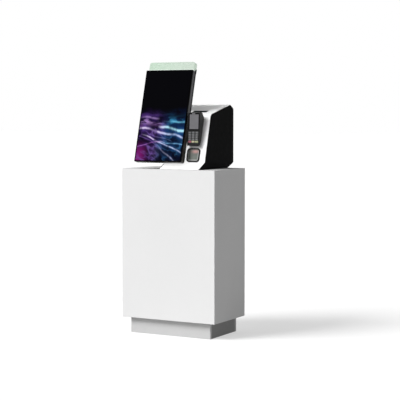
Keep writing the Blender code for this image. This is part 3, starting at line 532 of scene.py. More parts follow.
def scanner_glass():
    """Smoked scanner window: grey, with a painted pink highlight glowing near one upper corner and painted highlights
    along its sides and bottom edge.
    """
    t = Tree("scan_glass")
    x, y, z = t.xyz()
    body = t.ramp(t.noise(30, 3.0, 0.6), [(0.3, rgb(92, 97, 92)), (0.7, rgb(104, 109, 103))])
    # painted highlight: lighter band along the window's sides and bottom edge
    rim = t.math('MAXIMUM', t.range(t.math('ABSOLUTE', x), 0.0262, 0.0300, 0.0, 1.0, True),
                 t.range(y, -0.0232, -0.0262, 0.0, 1.0, True))
    t.link(t.mix(t.math('MULTIPLY', rim, 0.6), body, rgb(172)), t.b.inputs['Base Color'])
    t.link(t.range(t.noise(60, 4.0), 0.3, 0.7, 0.10, 0.18), t.b.inputs['Roughness'])
    # painted highlight: a pink glow near one upper corner, given as emission
    d2 = t.math('ADD', t.math('POWER', t.math('DIVIDE', t.math('SUBTRACT', x, 0.012), 0.019), 2.0),
                t.math('POWER', t.math('DIVIDE', t.math('SUBTRACT', y, 0.019), 0.0085), 2.0))
    glow = t.math('POWER', math.e, t.math('MULTIPLY', d2, -1.0))
    t.link(t.mix(glow, (0, 0, 0, 1), rgb(160, 92, 92)), t.b.inputs['Emission Color'])
    t.b.inputs['Emission Strength'].default_value = 1.0
    t.b.inputs['Specular IOR Level'].default_value = 0.35
    M["scan_glass"] = t.m


def terminal_lens():
    """Terminal lens: black border and a grey liquid-crystal field."""
    t = Tree("terminal_lens")
    x, y, z = t.xyz()
    grid = t.math('MULTIPLY', t.math('SINE', t.math('MULTIPLY', x, 2 * math.pi / 0.0006)),
                  t.math('SINE', t.math('MULTIPLY', y, 2 * math.pi / 0.0006)))
    tone = t.range(t.noise(20, 3.0), 0.3, 0.7, 0.0, 1.0)
    field = t.mix(tone, rgb(104, 103, 106), rgb(114, 113, 116))
    field = t.mix(t.range(grid, 0.2, 1.0, 0.0, 0.12), field, rgb(90, 90, 92))
    xf = t.math('ABSOLUTE', t.math('SUBTRACT', x, 0.0032))
    edge = t.range(xf, 0.0225, 0.0262, 0.0, 0.45, True)
    field = t.mix(edge, field, rgb(150, 146, 156))
    inx = t.range(xf, 0.0262, 0.0264, 1, 0)
    iny = t.math('MULTIPLY', t.range(y, 0.0893, 0.0895, 0, 1), t.range(y, 0.1675, 0.1677, 1, 0))
    lit = t.math('MULTIPLY', inx, iny)
    t.link(t.mix(lit, rgb(9), t.mix(0.5, field, rgb(30))), t.b.inputs['Base Color'])
    t.link(t.mix(lit, (0, 0, 0, 1), field), t.b.inputs['Emission Color'])
    t.b.inputs['Emission Strength'].default_value = 0.60
    t.link(t.range(t.noise(40, 4.0), 0.3, 0.8, 0.08, 0.16), t.b.inputs['Roughness'])
    t.b.inputs['Specular IOR Level'].default_value = 0.2
    M["terminal_lens"] = t.m


def paper():
    t = Tree("paper_white")
    x, y, z = t.xyz()
    fibres = t.noise(700, 6.0, 0.7, co=t.mapping(scale=(0.4, 1, 1)))
    r = t.math('SQRT', t.math('ADD', t.math('POWER', y, 2.0), t.math('POWER', z, 2.0)))
    turns = t.math('SINE', t.math('MULTIPLY', r, 2 * math.pi / 0.0009))
    col = t.ramp(fibres, [(0.3, rgb(236, 235, 228)), (0.7, rgb(246, 245, 240))])
    col = t.mix(t.range(turns, 0.1, 1.0, 0.0, 0.16), col, rgb(206, 204, 196))
    t.link(col, t.b.inputs['Base Color'])
    t.link(t.range(fibres, 0.3, 0.7, 0.8, 0.95), t.b.inputs['Roughness'])
    t.link(t.bump(t.math('ADD', fibres, t.math('MULTIPLY', turns, 0.4)), 0.00005), t.b.inputs['Normal'])
    M["paper_white"] = t.m

# ------------------------------------------------- driving dimensions (m)
GAP = 0.0003
PED_W, PED_D, PED_H = 0.5725, 0.3513, 0.900
BOARD = 0.016
CAB_BASE = 0.086
PLINTH_IN_X, PLINTH_IN_Y = 0.039, 0.026
CABLE_X, CABLE_Y, CABLE_R = 0.066, 0.085, 0.0255
DOOR_GAP, DOOR_T, PIN_R = 0.003, 0.016, 0.004
LOCK_X, LOCK_Z, LOCK_R = 0.235, 0.500, 0.009
HEAD_L, HEAD_R, HEAD_Z, FOOT_Z = -0.058, 0.190, 0.904, 0.9006
CHEEK = 0.0030
WRAP_L, WRAP_R = HEAD_L + CHEEK + 0.0003, HEAD_R - CHEEK - 0.0003
SKIN, RIM_DEPTH, RIM_W, CORNER_R = 0.0035, 0.011, 0.008, 0.013
P1, P2, P3, P4 = (-0.1725, FOOT_Z), (-0.101, 0.938), (-0.036, 1.186), (-0.024, 1.196)
P5, P6, P7, P8 = (0.186, 1.246), (0.224, 1.2255), (0.224, 0.9275), (0.1560, FOOT_Z)
SEAM_U, HINGE_R, ROD_R = 0.0730, 0.005, 0.002
DISP_W, DISP_H, DISP_T = 0.292, 0.513, 0.0438
DISP_O, DISP_TILT = (-0.2230, -0.1538, 0.9390), math.radians(15.2)
TERM_X, TERM_W, TERM_H = 0.1135, 0.075, 0.180
TERM_Y, TERM_Z, TERM_TILT = -0.099, 1.026, math.atan2(0.0105, 0.180)
KEY_PITCH_X, KEY_PITCH_V, KEY_W, KEY_H = 0.0213, 0.0122, 0.0180, 0.0095
SCAN_X, SCAN_S = 0.1118, 0.0391
ROLL_Y, ROLL_Z, ROLL_R, ROLL_W = 0.115, 1.150, 0.040, 0.0796
PRINT_X, PLATEN_Y, PLATEN_Z, PLATEN_R = 0.0880, 0.0385, 1.183, 0.008

light_cap()
led_glow()
screen_picture()
scanner_glass()
terminal_lens()
paper()

# ----------------------------------------------------------- mesh builders


def face_out(bm):
    bmesh.ops.recalc_face_normals(bm, faces=bm.faces[:])
    if bm.calc_volume(signed=True) < 0:
        bmesh.ops.reverse_faces(bm, faces=bm.faces[:])


def to_object(name, bm, mat=None):
    face_out(bm)
    me = bpy.data.meshes.new(name)
    bm.to_mesh(me)
    bm.free()
    if mat:
        me.materials.append(M[mat])
    ob = bpy.data.objects.new(name, me)
    scene.collection.objects.link(ob)
    return ob


def settle(ob):
    """Turn the modifiers' result into the object's own mesh."""
    dg = bpy.context.evaluated_depsgraph_get()
    me = bpy.data.meshes.new_from_object(ob.evaluated_get(dg), depsgraph=dg)
    ob.modifiers.clear()
    ob.data = me


def carve(ob, bm, op='DIFFERENCE', matrix=None):
    """Cut a shape out of an object, or add it, in the object's own frame."""
    other = to_object("tool", bm)
    other.matrix_world = ob.matrix_world @ matrix if matrix else ob.matrix_world
    bpy.context.view_layer.update()
    m = ob.modifiers.new("cut", 'BOOLEAN')
    m.operation, m.solver, m.object = op, 'EXACT', other
    settle(ob)
    bpy.data.objects.remove(other, do_unlink=True)
    return ob


def soften(ob, width, seg=2, angle=35.0, sharp=None):
    """Round the edges and shade smoothly across them."""
    m = ob.modifiers.new("edge", 'BEVEL')
    m.width, m.segments, m.limit_method = width, seg, 'ANGLE'
    m.angle_limit = math.radians(angle)
    m.use_clamp_overlap = True
    m.harden_normals = False
    m.miter_outer = 'MITER_ARC'
    settle(ob)
    return shade(ob, sharp or 28.0)


def shade(ob, sharp=32.0):
    ob.data.shade_smooth()
    ob.data.set_sharp_from_angle(angle=math.radians(sharp))
    if not ob.modifiers.get("normals"):
        m = ob.modifiers.new("normals", 'WEIGHTED_NORMAL')       # flat faces stay flat beside their rounded edges
        m.mode, m.keep_sharp, m.weight = 'FACE_AREA', True, 50
    return ob


def put(ob, body="kiosk", stands=()):
    """Ride the piece on its body and hide what it stands for."""
    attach(ob, body)
    if stands:
        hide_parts(*stands)
    return ob


def piece(name, bm, mat, body="kiosk", matrix=None, stands=(), sharp=32.0):
    ob = to_object(name, bm, mat)
    if matrix is not None:
        ob.matrix_world = matrix
    shade(ob, sharp)
    return put(ob, body, stands)


def stack(loops):
    bm = bmesh.new()
    rows = [[bm.verts.new(p) for p in loop] for loop in loops]
    n = len(rows[0])
    for a, b in zip(rows, rows[1:]):
        for i in range(n):
            j = (i + 1) % n
            bm.faces.new((a[i], a[j], b[j], b[i]))
    bm.faces.new(rows[0][::-1])
    bm.faces.new(rows[-1])
    return bm


def ring_of(loops):
    bm = bmesh.new()
    rows = [[bm.verts.new(p) for p in loop] for loop in loops]
    n = len(rows[0])
    for k in range(len(rows)):
        a, b = rows[k], rows[(k + 1) % len(rows)]
        for i in range(n):
            j = (i + 1) % n
            bm.faces.new((a[i], a[j], b[j], b[i]))
    return bm


def join(parts):
    """Several separate closed solids in one mesh."""
    out = bmesh.new()
    for p in parts:
        face_out(p)
        me = bpy.data.meshes.new("part")
        p.to_mesh(me)
        p.free()
        out.from_mesh(me)
        bpy.data.meshes.remove(me)
    return out


def rrect(w, h, r, seg=6, cx=0.0, cy=0.0):
    r = max(r, 0.0002)
    pts = []
    for k, (sx, sy) in enumerate(((1, 1), (-1, 1), (-1, -1), (1, -1))):
        ox, oy = cx + sx * (w / 2 - r), cy + sy * (h / 2 - r)
        for i in range(seg + 1):
            a = math.pi / 2 * (k + i / seg)
            pts.append((ox + r * math.cos(a), oy + r * math.sin(a)))
    return pts


def circle(r, n, cx=0.0, cy=0.0, start=0.0):
    return [(cx + r * math.cos(start + 2 * math.pi * i / n),
             cy + r * math.sin(start + 2 * math.pi * i / n)) for i in range(n)]


def at_z(outline, z):
    return [(x, y, z) for x, y in outline]


def along_x(outline_yz, x):
    return [(x, y, z) for y, z in outline_yz]


def box(lo, hi):
    x0, y0, z0 = lo
    x1, y1, z1 = hi
    return stack([[(x0, y0, z), (x1, y0, z), (x1, y1, z), (x0, y1, z)] for z in (z0, z1)])


def prism_x(outline_yz, x0, x1):
    return stack([along_x(outline_yz, x0), along_x(outline_yz, x1)])


def cyl(axis, r, c, lo, hi, n=32):
    o = circle(r, n, c[0], c[1], math.pi / n)
    if axis == 'z':
        return stack([at_z(o, lo), at_z(o, hi)])
    if axis == 'y':
        return stack([[(x, v, z) for x, z in o] for v in (lo, hi)])
    return stack([[(v, y, z) for y, z in o] for v in (lo, hi)])


def turned(steps, n=32, closed=False):
    """Solid of revolution about local Z from (radius, height) steps."""
    loops = [at_z(circle(max(r, 0.00005), n), z) for r, z in steps]
    return ring_of(loops) if closed else stack(loops)


def soft_box(lo, hi, r, seg=3):
    """Box with every edge rounded."""
    bm = box(lo, hi)
    bmesh.ops.bevel(bm, geom=bm.edges[:], offset=r, segments=seg, profile=0.5, affect='EDGES', clamp_overlap=True)
    return bm


def plane_frame(origin, tilt):
    s, c = math.sin(tilt), math.cos(tilt)
    return Matrix(((1, 0, 0, origin[0]), (0, s, -c, origin[1]), (0, c, s, origin[2]), (0, 0, 0, 1)))


def facing(origin, out, up=(0, 0, 1)):
    """Frame with local Z along out and local Y as near to up as it goes."""
    z = Vector(out).normalized()
    x = Vector(up).cross(z)
    x = x.normalized() if x.length > 1e-6 else Vector((1, 0, 0))
    y = z.cross(x)
    return Matrix(((x.x, y.x, z.x, origin[0]), (x.y, y.y, z.y, origin[1]), (x.z, y.z, z.z, origin[2]), (0, 0, 0, 1)))


def screw(r, sunk=0.0):
    """Domed screw head with a hexagon socket, in its own frame."""
    n = 24
    hexa = []
    for i in range(n):
        a = 2 * math.pi * i / n
        k = (a % (math.pi / 3)) - math.pi / 6
        d = r * 0.48 * math.cos(math.pi / 6) / math.cos(k)
        hexa.append((d * math.cos(a), d * math.sin(a)))
    c = circle
    return stack([at_z(c(r * 0.96, n), -0.0012 - sunk), at_z(c(r, n), 0.0001 - sunk), at_z(c(r * 0.95, n), r * 0.22 - sunk),
                  at_z(c(r * 0.80, n), r * 0.36 - sunk), at_z([(x * 1.1, y * 1.1) for x, y in hexa], r * 0.42 - sunk),
                  at_z(hexa, r * 0.38 - sunk), at_z(hexa, -r * 0.1 - sunk)])


def screws(name, places, r, body="kiosk", mat="zinc_screw", sunk=0.0):
    """One object with all the identical screws of an assembly."""
    parts = []
    for origin, out in places:
        b = screw(r, sunk)
        bmesh.ops.transform(b, matrix=facing(origin, out), verts=b.verts[:])
        parts.append(b)
    return piece(name, join(parts), mat, body)


def legend(name, text, size, mat, body, matrix, depth=0.00012):
    """A digit or sign printed on a key: a thin raised mesh."""
    cu = bpy.data.curves.new(name, 'FONT')
    cu.body = text
    cu.size = size
    cu.align_x, cu.align_y = 'CENTER', 'CENTER'
    cu.extrude = depth / 2
    cu.resolution_u = 4
    tmp = bpy.data.objects.new("tmp", cu)
    scene.collection.objects.link(tmp)
    dg = bpy.context.evaluated_depsgraph_get()
    me = bpy.data.meshes.new_from_object(tmp.evaluated_get(dg), depsgraph=dg)
    bpy.data.objects.remove(tmp, do_unlink=True)
    bm = bmesh.new()
    bm.from_mesh(me)
    bmesh.ops.remove_doubles(bm, verts=bm.verts[:], dist=0.000002)
    return piece(name, bm, mat, body, matrix, sharp=30)

# ---------------------------------------------------------------- pedestal
hw, hd = PED_W / 2, PED_D / 2
px, py = hw - PLINTH_IN_X, hd - PLINTH_IN_Y
zt, zp, t = PED_H, CAB_BASE - GAP, BOARD
m = GAP * 0.7072


def rect_xz(y, x0, x1, z0, z1):
    return [(x0, y, z0), (x1, y, z0), (x1, y, z1), (x0, y, z1)]


def rect_yz(x, y0, y1, z0, z1):
    return [(x, y0, z0), (x, y1, z0), (x, y1, z1), (x, y0, z1)]


def rect_xy(z, x0, x1, y0, y1):
    return [(x0, y0, z), (x1, y0, z), (x1, y1, z), (x0, y1, z)]


def board(name, node, outer, inner, cuts=()):
    ob = to_object(name, stack([outer, inner]), "lacquer_white")
    for c in cuts:
        carve(ob, c)
    soften(ob, 0.0011, 4, 40.0)
    return put(ob, "kiosk", (node,))


def rail(name, node, lo, hi):
    # the side rails take the darker copy of the lacquer: painted shade
    ob = piece(name, soft_box(lo, hi, 0.0010, 3),
               "lacquer_plinth_painted_shade" if node in ("plinth_left", "plinth_right") else "lacquer_plinth", stands=(node,))
    return ob


rail("plinth_rail_front", "plinth_front", (-px, -py, 0), (px, -py + t, zp))
rail("plinth_rail_back", "plinth_back", (-px, py - t, 0), (px, py, zp))
rail("plinth_rail_left", "plinth_left", (-px, -py + t + GAP, 0), (-px + t, py - t - GAP, zp))
rail("plinth_rail_right", "plinth_right", (px - t, -py + t + GAP, 0), (px, py - t - GAP, zp))

board("front_board", "cabinet_front_panel", rect_xz(-hd, -hw + m, hw - m, CAB_BASE, zt - m),
      rect_xz(-hd + t, -hw + t + m, hw - t - m, CAB_BASE, zt - t - m))
for side, sx in (("left", -1), ("right", 1)):
    board("%s_board" % side, "cabinet_%s_panel" % side, rect_yz(sx * hw, -hd + m, hd, CAB_BASE, zt - m),
          rect_yz(sx * (hw - t), -hd + t + m, hd, CAB_BASE, zt - t - m))
board("top_board", "cabinet_top_panel", rect_xy(zt, -hw + m, hw - m, -hd + m, hd),
      rect_xy(zt - t, -hw + t + m, hw - t - m, -hd + t + m, hd),
      [cyl('z', CABLE_R, (CABLE_X, CABLE_Y), zt - 0.05, zt + 0.05, 48)])
board("bottom_board", "cabinet_bottom_panel", rect_xy(CAB_BASE, -hw + t + GAP, hw - t - GAP, -hd + t + GAP, hd),
      rect_xy(CAB_BASE + t, -hw + t + GAP, hw - t - GAP, -hd + t + GAP, hd),
      [cyl('z', CABLE_R, (CABLE_X, CABLE_Y), 0.05, 0.15, 48)])

gz = zt - t - GAP
piece("grommet_ring", ring_of([at_z(circle(r, 48, CABLE_X, CABLE_Y), z) for r, z in (
    (0.0215, gz - 0.0020), (0.0222, gz - 0.0025), (0.0294, gz - 0.0025), (0.0300, gz - 0.0019), (0.0300, gz),
    (0.0250, gz), (0.0250, zt - 0.0009), (0.0246, zt - 0.0005), (0.0219, zt - 0.0005), (0.0215, zt - 0.0009))]),
    "rubber_black", stands=("cable_grommet",))

# rear door with its rounded hinge edge and lock
hx, hy = -(hw - t) + DOOR_GAP + DOOR_T / 2, hd - DOOR_T / 2
dz0, dz1 = CAB_BASE + t + DOOR_GAP, zt - t - DOOR_GAP
arc = [(hx + DOOR_T / 2 * math.cos(a), hy + DOOR_T / 2 * math.sin(a))
       for a in [math.pi / 2 + math.pi * i / 24 for i in range(25)]]
door = to_object("service_door", stack([at_z(arc + [(hw - t - DOOR_GAP, hd - DOOR_T), (hw - t - DOOR_GAP, hd)], z)
                                        for z in (dz0, dz1)]), "lacquer_white")
carve(door, cyl('z', PIN_R + 0.0003, (hx, hy), dz0 - 0.01, dz0 + 0.013, 32))
carve(door, cyl('z', PIN_R + 0.0003, (hx, hy), dz1 - 0.013, dz1 + 0.01, 32))
carve(door, cyl('y', LOCK_R + 0.0003, (LOCK_X, LOCK_Z), hd - 0.03, hd + 0.01, 48))
soften(door, 0.0009, 3, 40.0)
put(door, "rear_door", ("rear_door",))

LOCK = facing((LOCK_X, hd, LOCK_Z), (0, 1, 0))
plug = to_object("cam_lock", turned([(LOCK_R - 0.0006, -DOOR_T - 0.0020), (LOCK_R, -DOOR_T - 0.0014), (LOCK_R, GAP),
                                     (0.0118, GAP), (0.0120, 0.0006), (0.0120, 0.0017), (0.0117, 0.0022),
                                     (0.0110, 0.0026), (0.0079, 0.0026), (0.0076, 0.0021), (0.0073, 0.0021),
                                     (0.0070, 0.0025)], 48), "steel_bright")
carve(plug, soft_box((-0.0009, -0.0045, 0.0008), (0.0009, 0.0045, 0.006), 0.0003, 2))
shade(plug, 30)
plug.matrix_world = LOCK
put(plug, "door_lock", ("door_lock_plug",))
camp = [(0.008 * math.cos(a), 0.008 * math.sin(a)) for a in [math.pi * i / 20 for i in range(21)]]
camp += [(-0.0064, -0.024)] + [(-0.006 + 0.0012 * (1 - math.cos(a)), -0.0288 - 0.0012 * math.sin(a)) for a in
                               [math.pi / 2 * i / 4 for i in range(5)]]
camp += [(0.006 - 0.0012 * (1 - math.cos(a)), -0.0288 - 0.0012 * math.sin(a)) for a in
         [math.pi / 2 * (1 - i / 4) for i in range(5)]] + [(0.0064, -0.024)]
tongue = to_object("cam_tongue", stack([at_z(camp, -DOOR_T - 0.0053), at_z(camp, -DOOR_T - 0.0023)]), "steel_bright")
soften(tongue, 0.0004, 2, 50)
tongue.matrix_world = LOCK
put(tongue, "door_lock", ("door_lock_cam",))
piece("cam_nut", stack([at_z(circle(0.0052, 6), -DOOR_T - 0.0092), at_z(circle(0.0056, 6), -DOOR_T - 0.0086),
                        at_z(circle(0.0056, 6), -DOOR_T - 0.0054)]), "zinc_screw", "door_lock", LOCK, sharp=25)
sxr = hw - t - GAP
strike = to_object("strike_angle", stack([at_z([(0.2560, hd - 0.0163), (0.2560, hd - 0.0178), (sxr - 0.0018, hd - 0.0178),
                                                (sxr - 0.0018, hd - 0.0450), (sxr, hd - 0.0450), (sxr, hd - 0.0163)], z)
                                          for z in (LOCK_Z - 0.016, LOCK_Z + 0.016)]), "steel_bright")
soften(strike, 0.0004, 2, 50)
put(strike, "kiosk", ("lock_strike",))
screws("strike_screws", [((sxr - 0.0018, hd - 0.036, LOCK_Z + dz), (-1, 0, 0)) for dz in (-0.009, 0.009)], 0.0030)

# floor plate with holes for its anchor bolts
plate = to_object("base_plate", box((-px + t + GAP, -py + t + GAP, 0), (px - t - GAP, py - t - GAP, 0.006)), "steel_plate")
carve(plate, cyl('z', CABLE_R, (CABLE_X, CABLE_Y), -0.01, 0.02, 48))
ANCHORS = ((-0.19, -0.095), (0.19, -0.095), (-0.19, 0.095), (0.19, 0.095))
for ax, ay in ANCHORS:
    carve(plate, cyl('z', 0.0065, (ax, ay), -0.01, 0.02, 24))
soften(plate, 0.0005, 2, 50)
put(plate, "kiosk", ("floor_plate",))

# power supply: folded case with louvres, inlet, terminal block and screws
psu = to_object("supply_case", soft_box((-0.200, -0.050, CAB_BASE + t + GAP), (-0.040, 0.040, CAB_BASE + t + 0.048), 0.0020, 3),
                "pc_grey")
pz = CAB_BASE + t + 0.048
carve(psu, join([stack([at_z(rrect(0.0025, 0.052, 0.0012, 4, -0.176 + 0.0075 * i, -0.005), z) for z in (pz - 0.0012, pz + 0.01)])
                 for i in range(13)]))
carve(psu, soft_box((-0.075, 0.0385, pz - 0.034), (-0.047, 0.060, pz - 0.014), 0.002, 2))
shade(psu, 30)
put(psu, "kiosk", ("power_supply_unit",))
piece("supply_inlet", join([soft_box((-0.0742, 0.0380, pz - 0.0332), (-0.0478, 0.0388, pz - 0.0148), 0.0003, 1)] +
                           [soft_box((x - 0.001, 0.0384, pz - 0.024 + dz), (x + 0.001, 0.0398, pz - 0.018 + dz), 0.0002, 1)
                            for x, dz in ((-0.0670, -0.001), (-0.0610, 0.001), (-0.0550, -0.001))]), "plastic_black")
piece("supply_terminals", join([soft_box((-0.185 + 0.012 * i, 0.0395, pz - 0.030), (-0.1745 + 0.012 * i, 0.0475, pz - 0.012), 0.0008, 2)
                                for i in range(7)]), "plastic_black")
screws("supply_screws", [((-0.1798 + 0.012 * i, 0.0476, pz - 0.021), (0, 1, 0)) for i in range(7)], 0.0026)

# -------------------------------------------------------------- kiosk head


def unit(a, b):
    d = Vector((b[0] - a[0], b[1] - a[1]))
    return d / d.length


def fillet(pts, radii, seg=2):
    out = [Vector(pts[0])]
    for i in range(1, len(pts) - 1):
        p, r = Vector(pts[i]), radii[i]
        if not r:
            out.append(p)
            continue
        a, b = unit(pts[i], pts[i - 1]), unit(pts[i], pts[i + 1])
        half = a.angle(b) / 2
        cut = r / math.tan(half)
        c = p + (a + b).normalized() * (r / math.sin(half))
        s0, s1 = p + a * cut - c, p + b * cut - c
        turn = s0.angle_signed(s1)
        for k in range(seg + 1):
            g = -turn * k / seg
            q = Vector((s0.x * math.cos(g) - s0.y * math.sin(g), s0.x * math.sin(g) + s0.y * math.cos(g)))
            out.append(c + q)
    out.append(Vector(pts[-1]))
    return out


def inward(d):
    return Vector((d[1], -d[0]))


def mitres(pts, first=None, last=None):
    out = []
    for i, p in enumerate(pts):
        n0 = inward(unit(pts[i - 1], p)) if i else None
        n1 = inward(unit(p, pts[i + 1])) if i < len(pts) - 1 else None
        if n0 is None or n1 is None:
            n = n0 or n1
            e = (first if i == 0 else last) or n
            out.append(Vector(e) / Vector(e).dot(n))
        else:
            s = n0 + n1
            out.append(s / s.dot(n0))
    return out


def cover_section(x0, x1, fil=0.0045, seg=8):
    """Skin with a rounded outer edge and a flange each side."""
    sec = []
    for i in range(seg + 1):
        a = math.pi / 2 * i / seg
        sec.append((x0 + fil * (1 - math.cos(a)), fil * (1 - math.sin(a))))
    for i in range(seg + 1):
        a = math.pi / 2 * (1 - i / seg)
        sec.append((x1 - fil * (1 - math.cos(a)), fil * (1 - math.sin(a))))
    e = 0.0006
    sec += [(x1, RIM_DEPTH - e), (x1 - e, RIM_DEPTH), (x1 - RIM_W + e, RIM_DEPTH), (x1 - RIM_W, RIM_DEPTH - e),
            (x1 - RIM_W, SKIN), (x0 + RIM_W, SKIN),
            (x0 + RIM_W, RIM_DEPTH - e), (x0 + RIM_W - e, RIM_DEPTH), (x0 + e, RIM_DEPTH), (x0, RIM_DEPTH - e)]
    return sec


def sweep(profile, mit, section, soft=0.0005):
    """Cover swept along its side profile."""
    loops = []
    for p, v in zip(profile, mit):
        loops.append([(x, p.x + v.x * d, p.y + v.y * d) for x, d in section])
    return stack(loops)


top_dir = unit(P4, P5)
top_in = inward(top_dir)
TOP_L = (Vector(P5) - Vector(P4)).length


def on_top(u, depth):
    p = Vector(P4) + top_dir * u + top_in * depth
    return (p.x, p.y)


TILT = math.atan2(P3[0] - P2[0], P3[1] - P2[1])
FRONT = plane_frame((0, P2[0], P2[1]), TILT)
TOPF = Matrix(((1, 0, 0, 0), (0, top_dir.x, -top_in.x, P4[0]), (0, top_dir.y, -top_in.y, P4[1]), (0, 0, 0, 1)))
sec = cover_section(WRAP_L, WRAP_R, 0.0025)
BEZ_U0, BEZ_U1 = 0.0370, 0.0690
bu, bl = (BEZ_U0 + BEZ_U1) / 2, BEZ_U1 - BEZ_U0

front_pts = fillet([P1, P2, P3, P4, on_top(SEAM_U, 0)], [0, 0.002, CORNER_R, CORNER_R, 0], 9)
front = to_object("front_shell", sweep(front_pts, mitres(front_pts, first=(1, 0)), sec), "cover_white")
carve(front, stack([at_z(rrect(0.066, 0.0656, 0.011, 8, SCAN_X, SCAN_S), z) for z in (-0.02, 0.02)]), matrix=FRONT)
carve(front, stack([at_z(rrect(0.0902, bl + 0.0006, 0.0033, 5, PRINT_X, bu), z) for z in (-0.02, 0.02)]), matrix=TOPF)
soften(front, 0.00035, 2, 50)
put(front, "kiosk", ("front_cover",))

HINGE_U = TOP_L - 0.0054
hinge = on_top(HINGE_U, HINGE_R)
lid_pts = [Vector(on_top(SEAM_U + 0.0005, 0)), Vector(on_top(HINGE_U - 0.0054, 0))]
lid = to_object("paper_lid", sweep(lid_pts, mitres(lid_pts), sec), "cover_white")
barrel = [on_top(HINGE_U - 0.0070, 0.0)]
for i in range(31):
    a = math.pi / 2 - math.pi * 1.35 * i / 30
    barrel.append(on_top(HINGE_U + HINGE_R * math.cos(a), HINGE_R - HINGE_R * math.sin(a)))
barrel.append(on_top(HINGE_U - 0.0070, SKIN - 0.0004))
x0, x1 = WRAP_L + RIM_W + 0.0005, WRAP_R - RIM_W - 0.0005
carve(lid, prism_x(barrel, x0, x1), 'UNION')
carve(lid, cyl('x', ROD_R + 0.0003, hinge, HEAD_L - 0.01, HEAD_R + 0.01, 24))
# two stiffening ribs under the lid
for rx in (-0.02, 0.150):
    rib = [on_top(SEAM_U + 0.012, SKIN - 0.0003), on_top(HINGE_U - 0.030, SKIN - 0.0003),
           on_top(HINGE_U - 0.034, SKIN + 0.004), on_top(SEAM_U + 0.016, SKIN + 0.004)]
    carve(lid, prism_x(rib, rx - 0.001, rx + 0.001), 'UNION')
soften(lid, 0.00035, 2, 50)
put(lid, "lid", ("top_lid",))

rear_pts = fillet([P5, P6, P7, P8], [0, CORNER_R, CORNER_R, 0], 9)
rear = to_object("rear_shell", sweep(rear_pts, mitres(rear_pts, first=top_in, last=(-1, 0)), sec), "cover_white")
ear = []
for i in range(25):
    a = math.pi / 2 + math.pi * i / 24
    ear.append(on_top(HINGE_U + HINGE_R * math.cos(a), HINGE_R - HINGE_R * math.sin(a)))
ear += [on_top(TOP_L + 0.0030, 2 * HINGE_R), on_top(TOP_L + 0.0030, 0.0046), on_top(HINGE_U + 0.0025, 0.0004)]
carve(rear, prism_x(ear, WRAP_L + 0.0007, WRAP_L + RIM_W - 0.0003), 'UNION')
carve(rear, prism_x(ear, WRAP_R - RIM_W + 0.0003, WRAP_R - 0.0007), 'UNION')
carve(rear, cyl('x', ROD_R + 0.0003, hinge, WRAP_L + 0.0025, WRAP_R - 0.0025, 24))
# ventilation slots in the back, two columns of nine
BACK = facing((0.066, P6[0], 1.080), (0, 1, 0))
slots = []
for row in range(9):
    for cx in (-0.036, 0.036):
        slots.append(stack([at_z(rrect(0.052, 0.0032, 0.0016, 5, cx, -0.088 + 0.0085 * row), z) for z in (-0.02, 0.02)]))
carve(rear, join(slots), matrix=BACK)
soften(rear, 0.00035, 2, 50)
put(rear, "kiosk", ("rear_cover",))
screws("rear_shell_screws", [((x, P6[0] + 0.0001, z), (0, 1, 0)) for x in (HEAD_L + 0.016, HEAD_R - 0.016) for z in (0.956, 1.196)],
       0.0032)

ring = fillet([P1, P2, P3, P4, P5, P6, P7, P8], [0, 0.002, CORNER_R, CORNER_R, 0, CORNER_R, CORNER_R, 0], 9)
mit = mitres(ring, first=(1, 0), last=(-1, 0))


def panel_outline(depth):
    return [(p.x + v.x * depth, p.y + v.y * depth) for p, v in zip(ring, mit)]


for side, s, xo, xi in (("left", -1, HEAD_L, HEAD_L + CHEEK), ("right", 1, HEAD_R, HEAD_R - CHEEK)):
    d = 0.0008
    piece("%s_cheek" % side, stack([along_x(panel_outline(d), xi), along_x(panel_outline(d), xo - s * 0.0006),
                                    along_x(panel_outline(d + 0.00012), xo - s * 0.0003),
                                    along_x(panel_outline(d + 0.0003), xo - s * 0.0001),
                                    along_x(panel_outline(d + 0.0006), xo)]), "panel_black",
          stands=("%s_side_panel" % side,), sharp=40)

# head base plate, with its cable hole
base = to_object("head_plate", box((HEAD_L + 0.0130, -0.148, zt + GAP), (HEAD_R - 0.0130, 0.136, HEAD_Z - GAP)), "steel_plate")
carve(base, cyl('z', CABLE_R, (CABLE_X, CABLE_Y), zt - 0.02, zt + 0.03, 48))
soften(base, 0.0004, 2, 50)
put(base, "kiosk", ("head_base_plate",))

# receipt outlet: bezel sunk towards its slot, with a serrated tear edge
bez = to_object("outlet_bezel", stack([at_z(rrect(0.0896 - 2 * i, bl - 2 * i, 0.003, 6, PRINT_X, bu), z)
                                       for i, z in ((0, -0.0060), (0, 0.0003), (0.0002, 0.0007), (0.0006, 0.0010))]),
                "bezel_black")
bez.matrix_world = TOPF
TINV = TOPF.inverted()
slot_y0, slot_y1 = 0.0265, 0.0335
carve(bez, box((PRINT_X - 0.041, slot_y0, 1.17), (PRINT_X + 0.041, slot_y1, 1.25)), matrix=TINV)
carve(bez, prism_x([on_top(BEZ_U0 + 0.003, -0.004), on_top(BEZ_U0 + 0.003, -0.0004), on_top(0.0530, 0.0030),
                    on_top(0.0590, 0.0030), on_top(0.0630, -0.0004), on_top(0.0630, -0.004)],
                   PRINT_X - 0.0422, PRINT_X + 0.0422), matrix=TINV)
soften(bez, 0.0003, 2, 40)
put(bez, "kiosk", ("receipt_slot_bezel",))
teeth = [(PRINT_X - 0.0405, 0.0)]
for i in range(54):
    teeth += [(PRINT_X - 0.0405 + 0.0015 * (i + 0.5), 0.0011), (PRINT_X - 0.0405 + 0.0015 * (i + 1), 0.0)]
zs = on_top(0.0516, 0.0034)
tear = [(x, slot_y0 - 0.0006 + w) for x, w in teeth] + [(PRINT_X + 0.0405, slot_y0 - 0.0026), (PRINT_X - 0.0405, slot_y0 - 0.0026)]
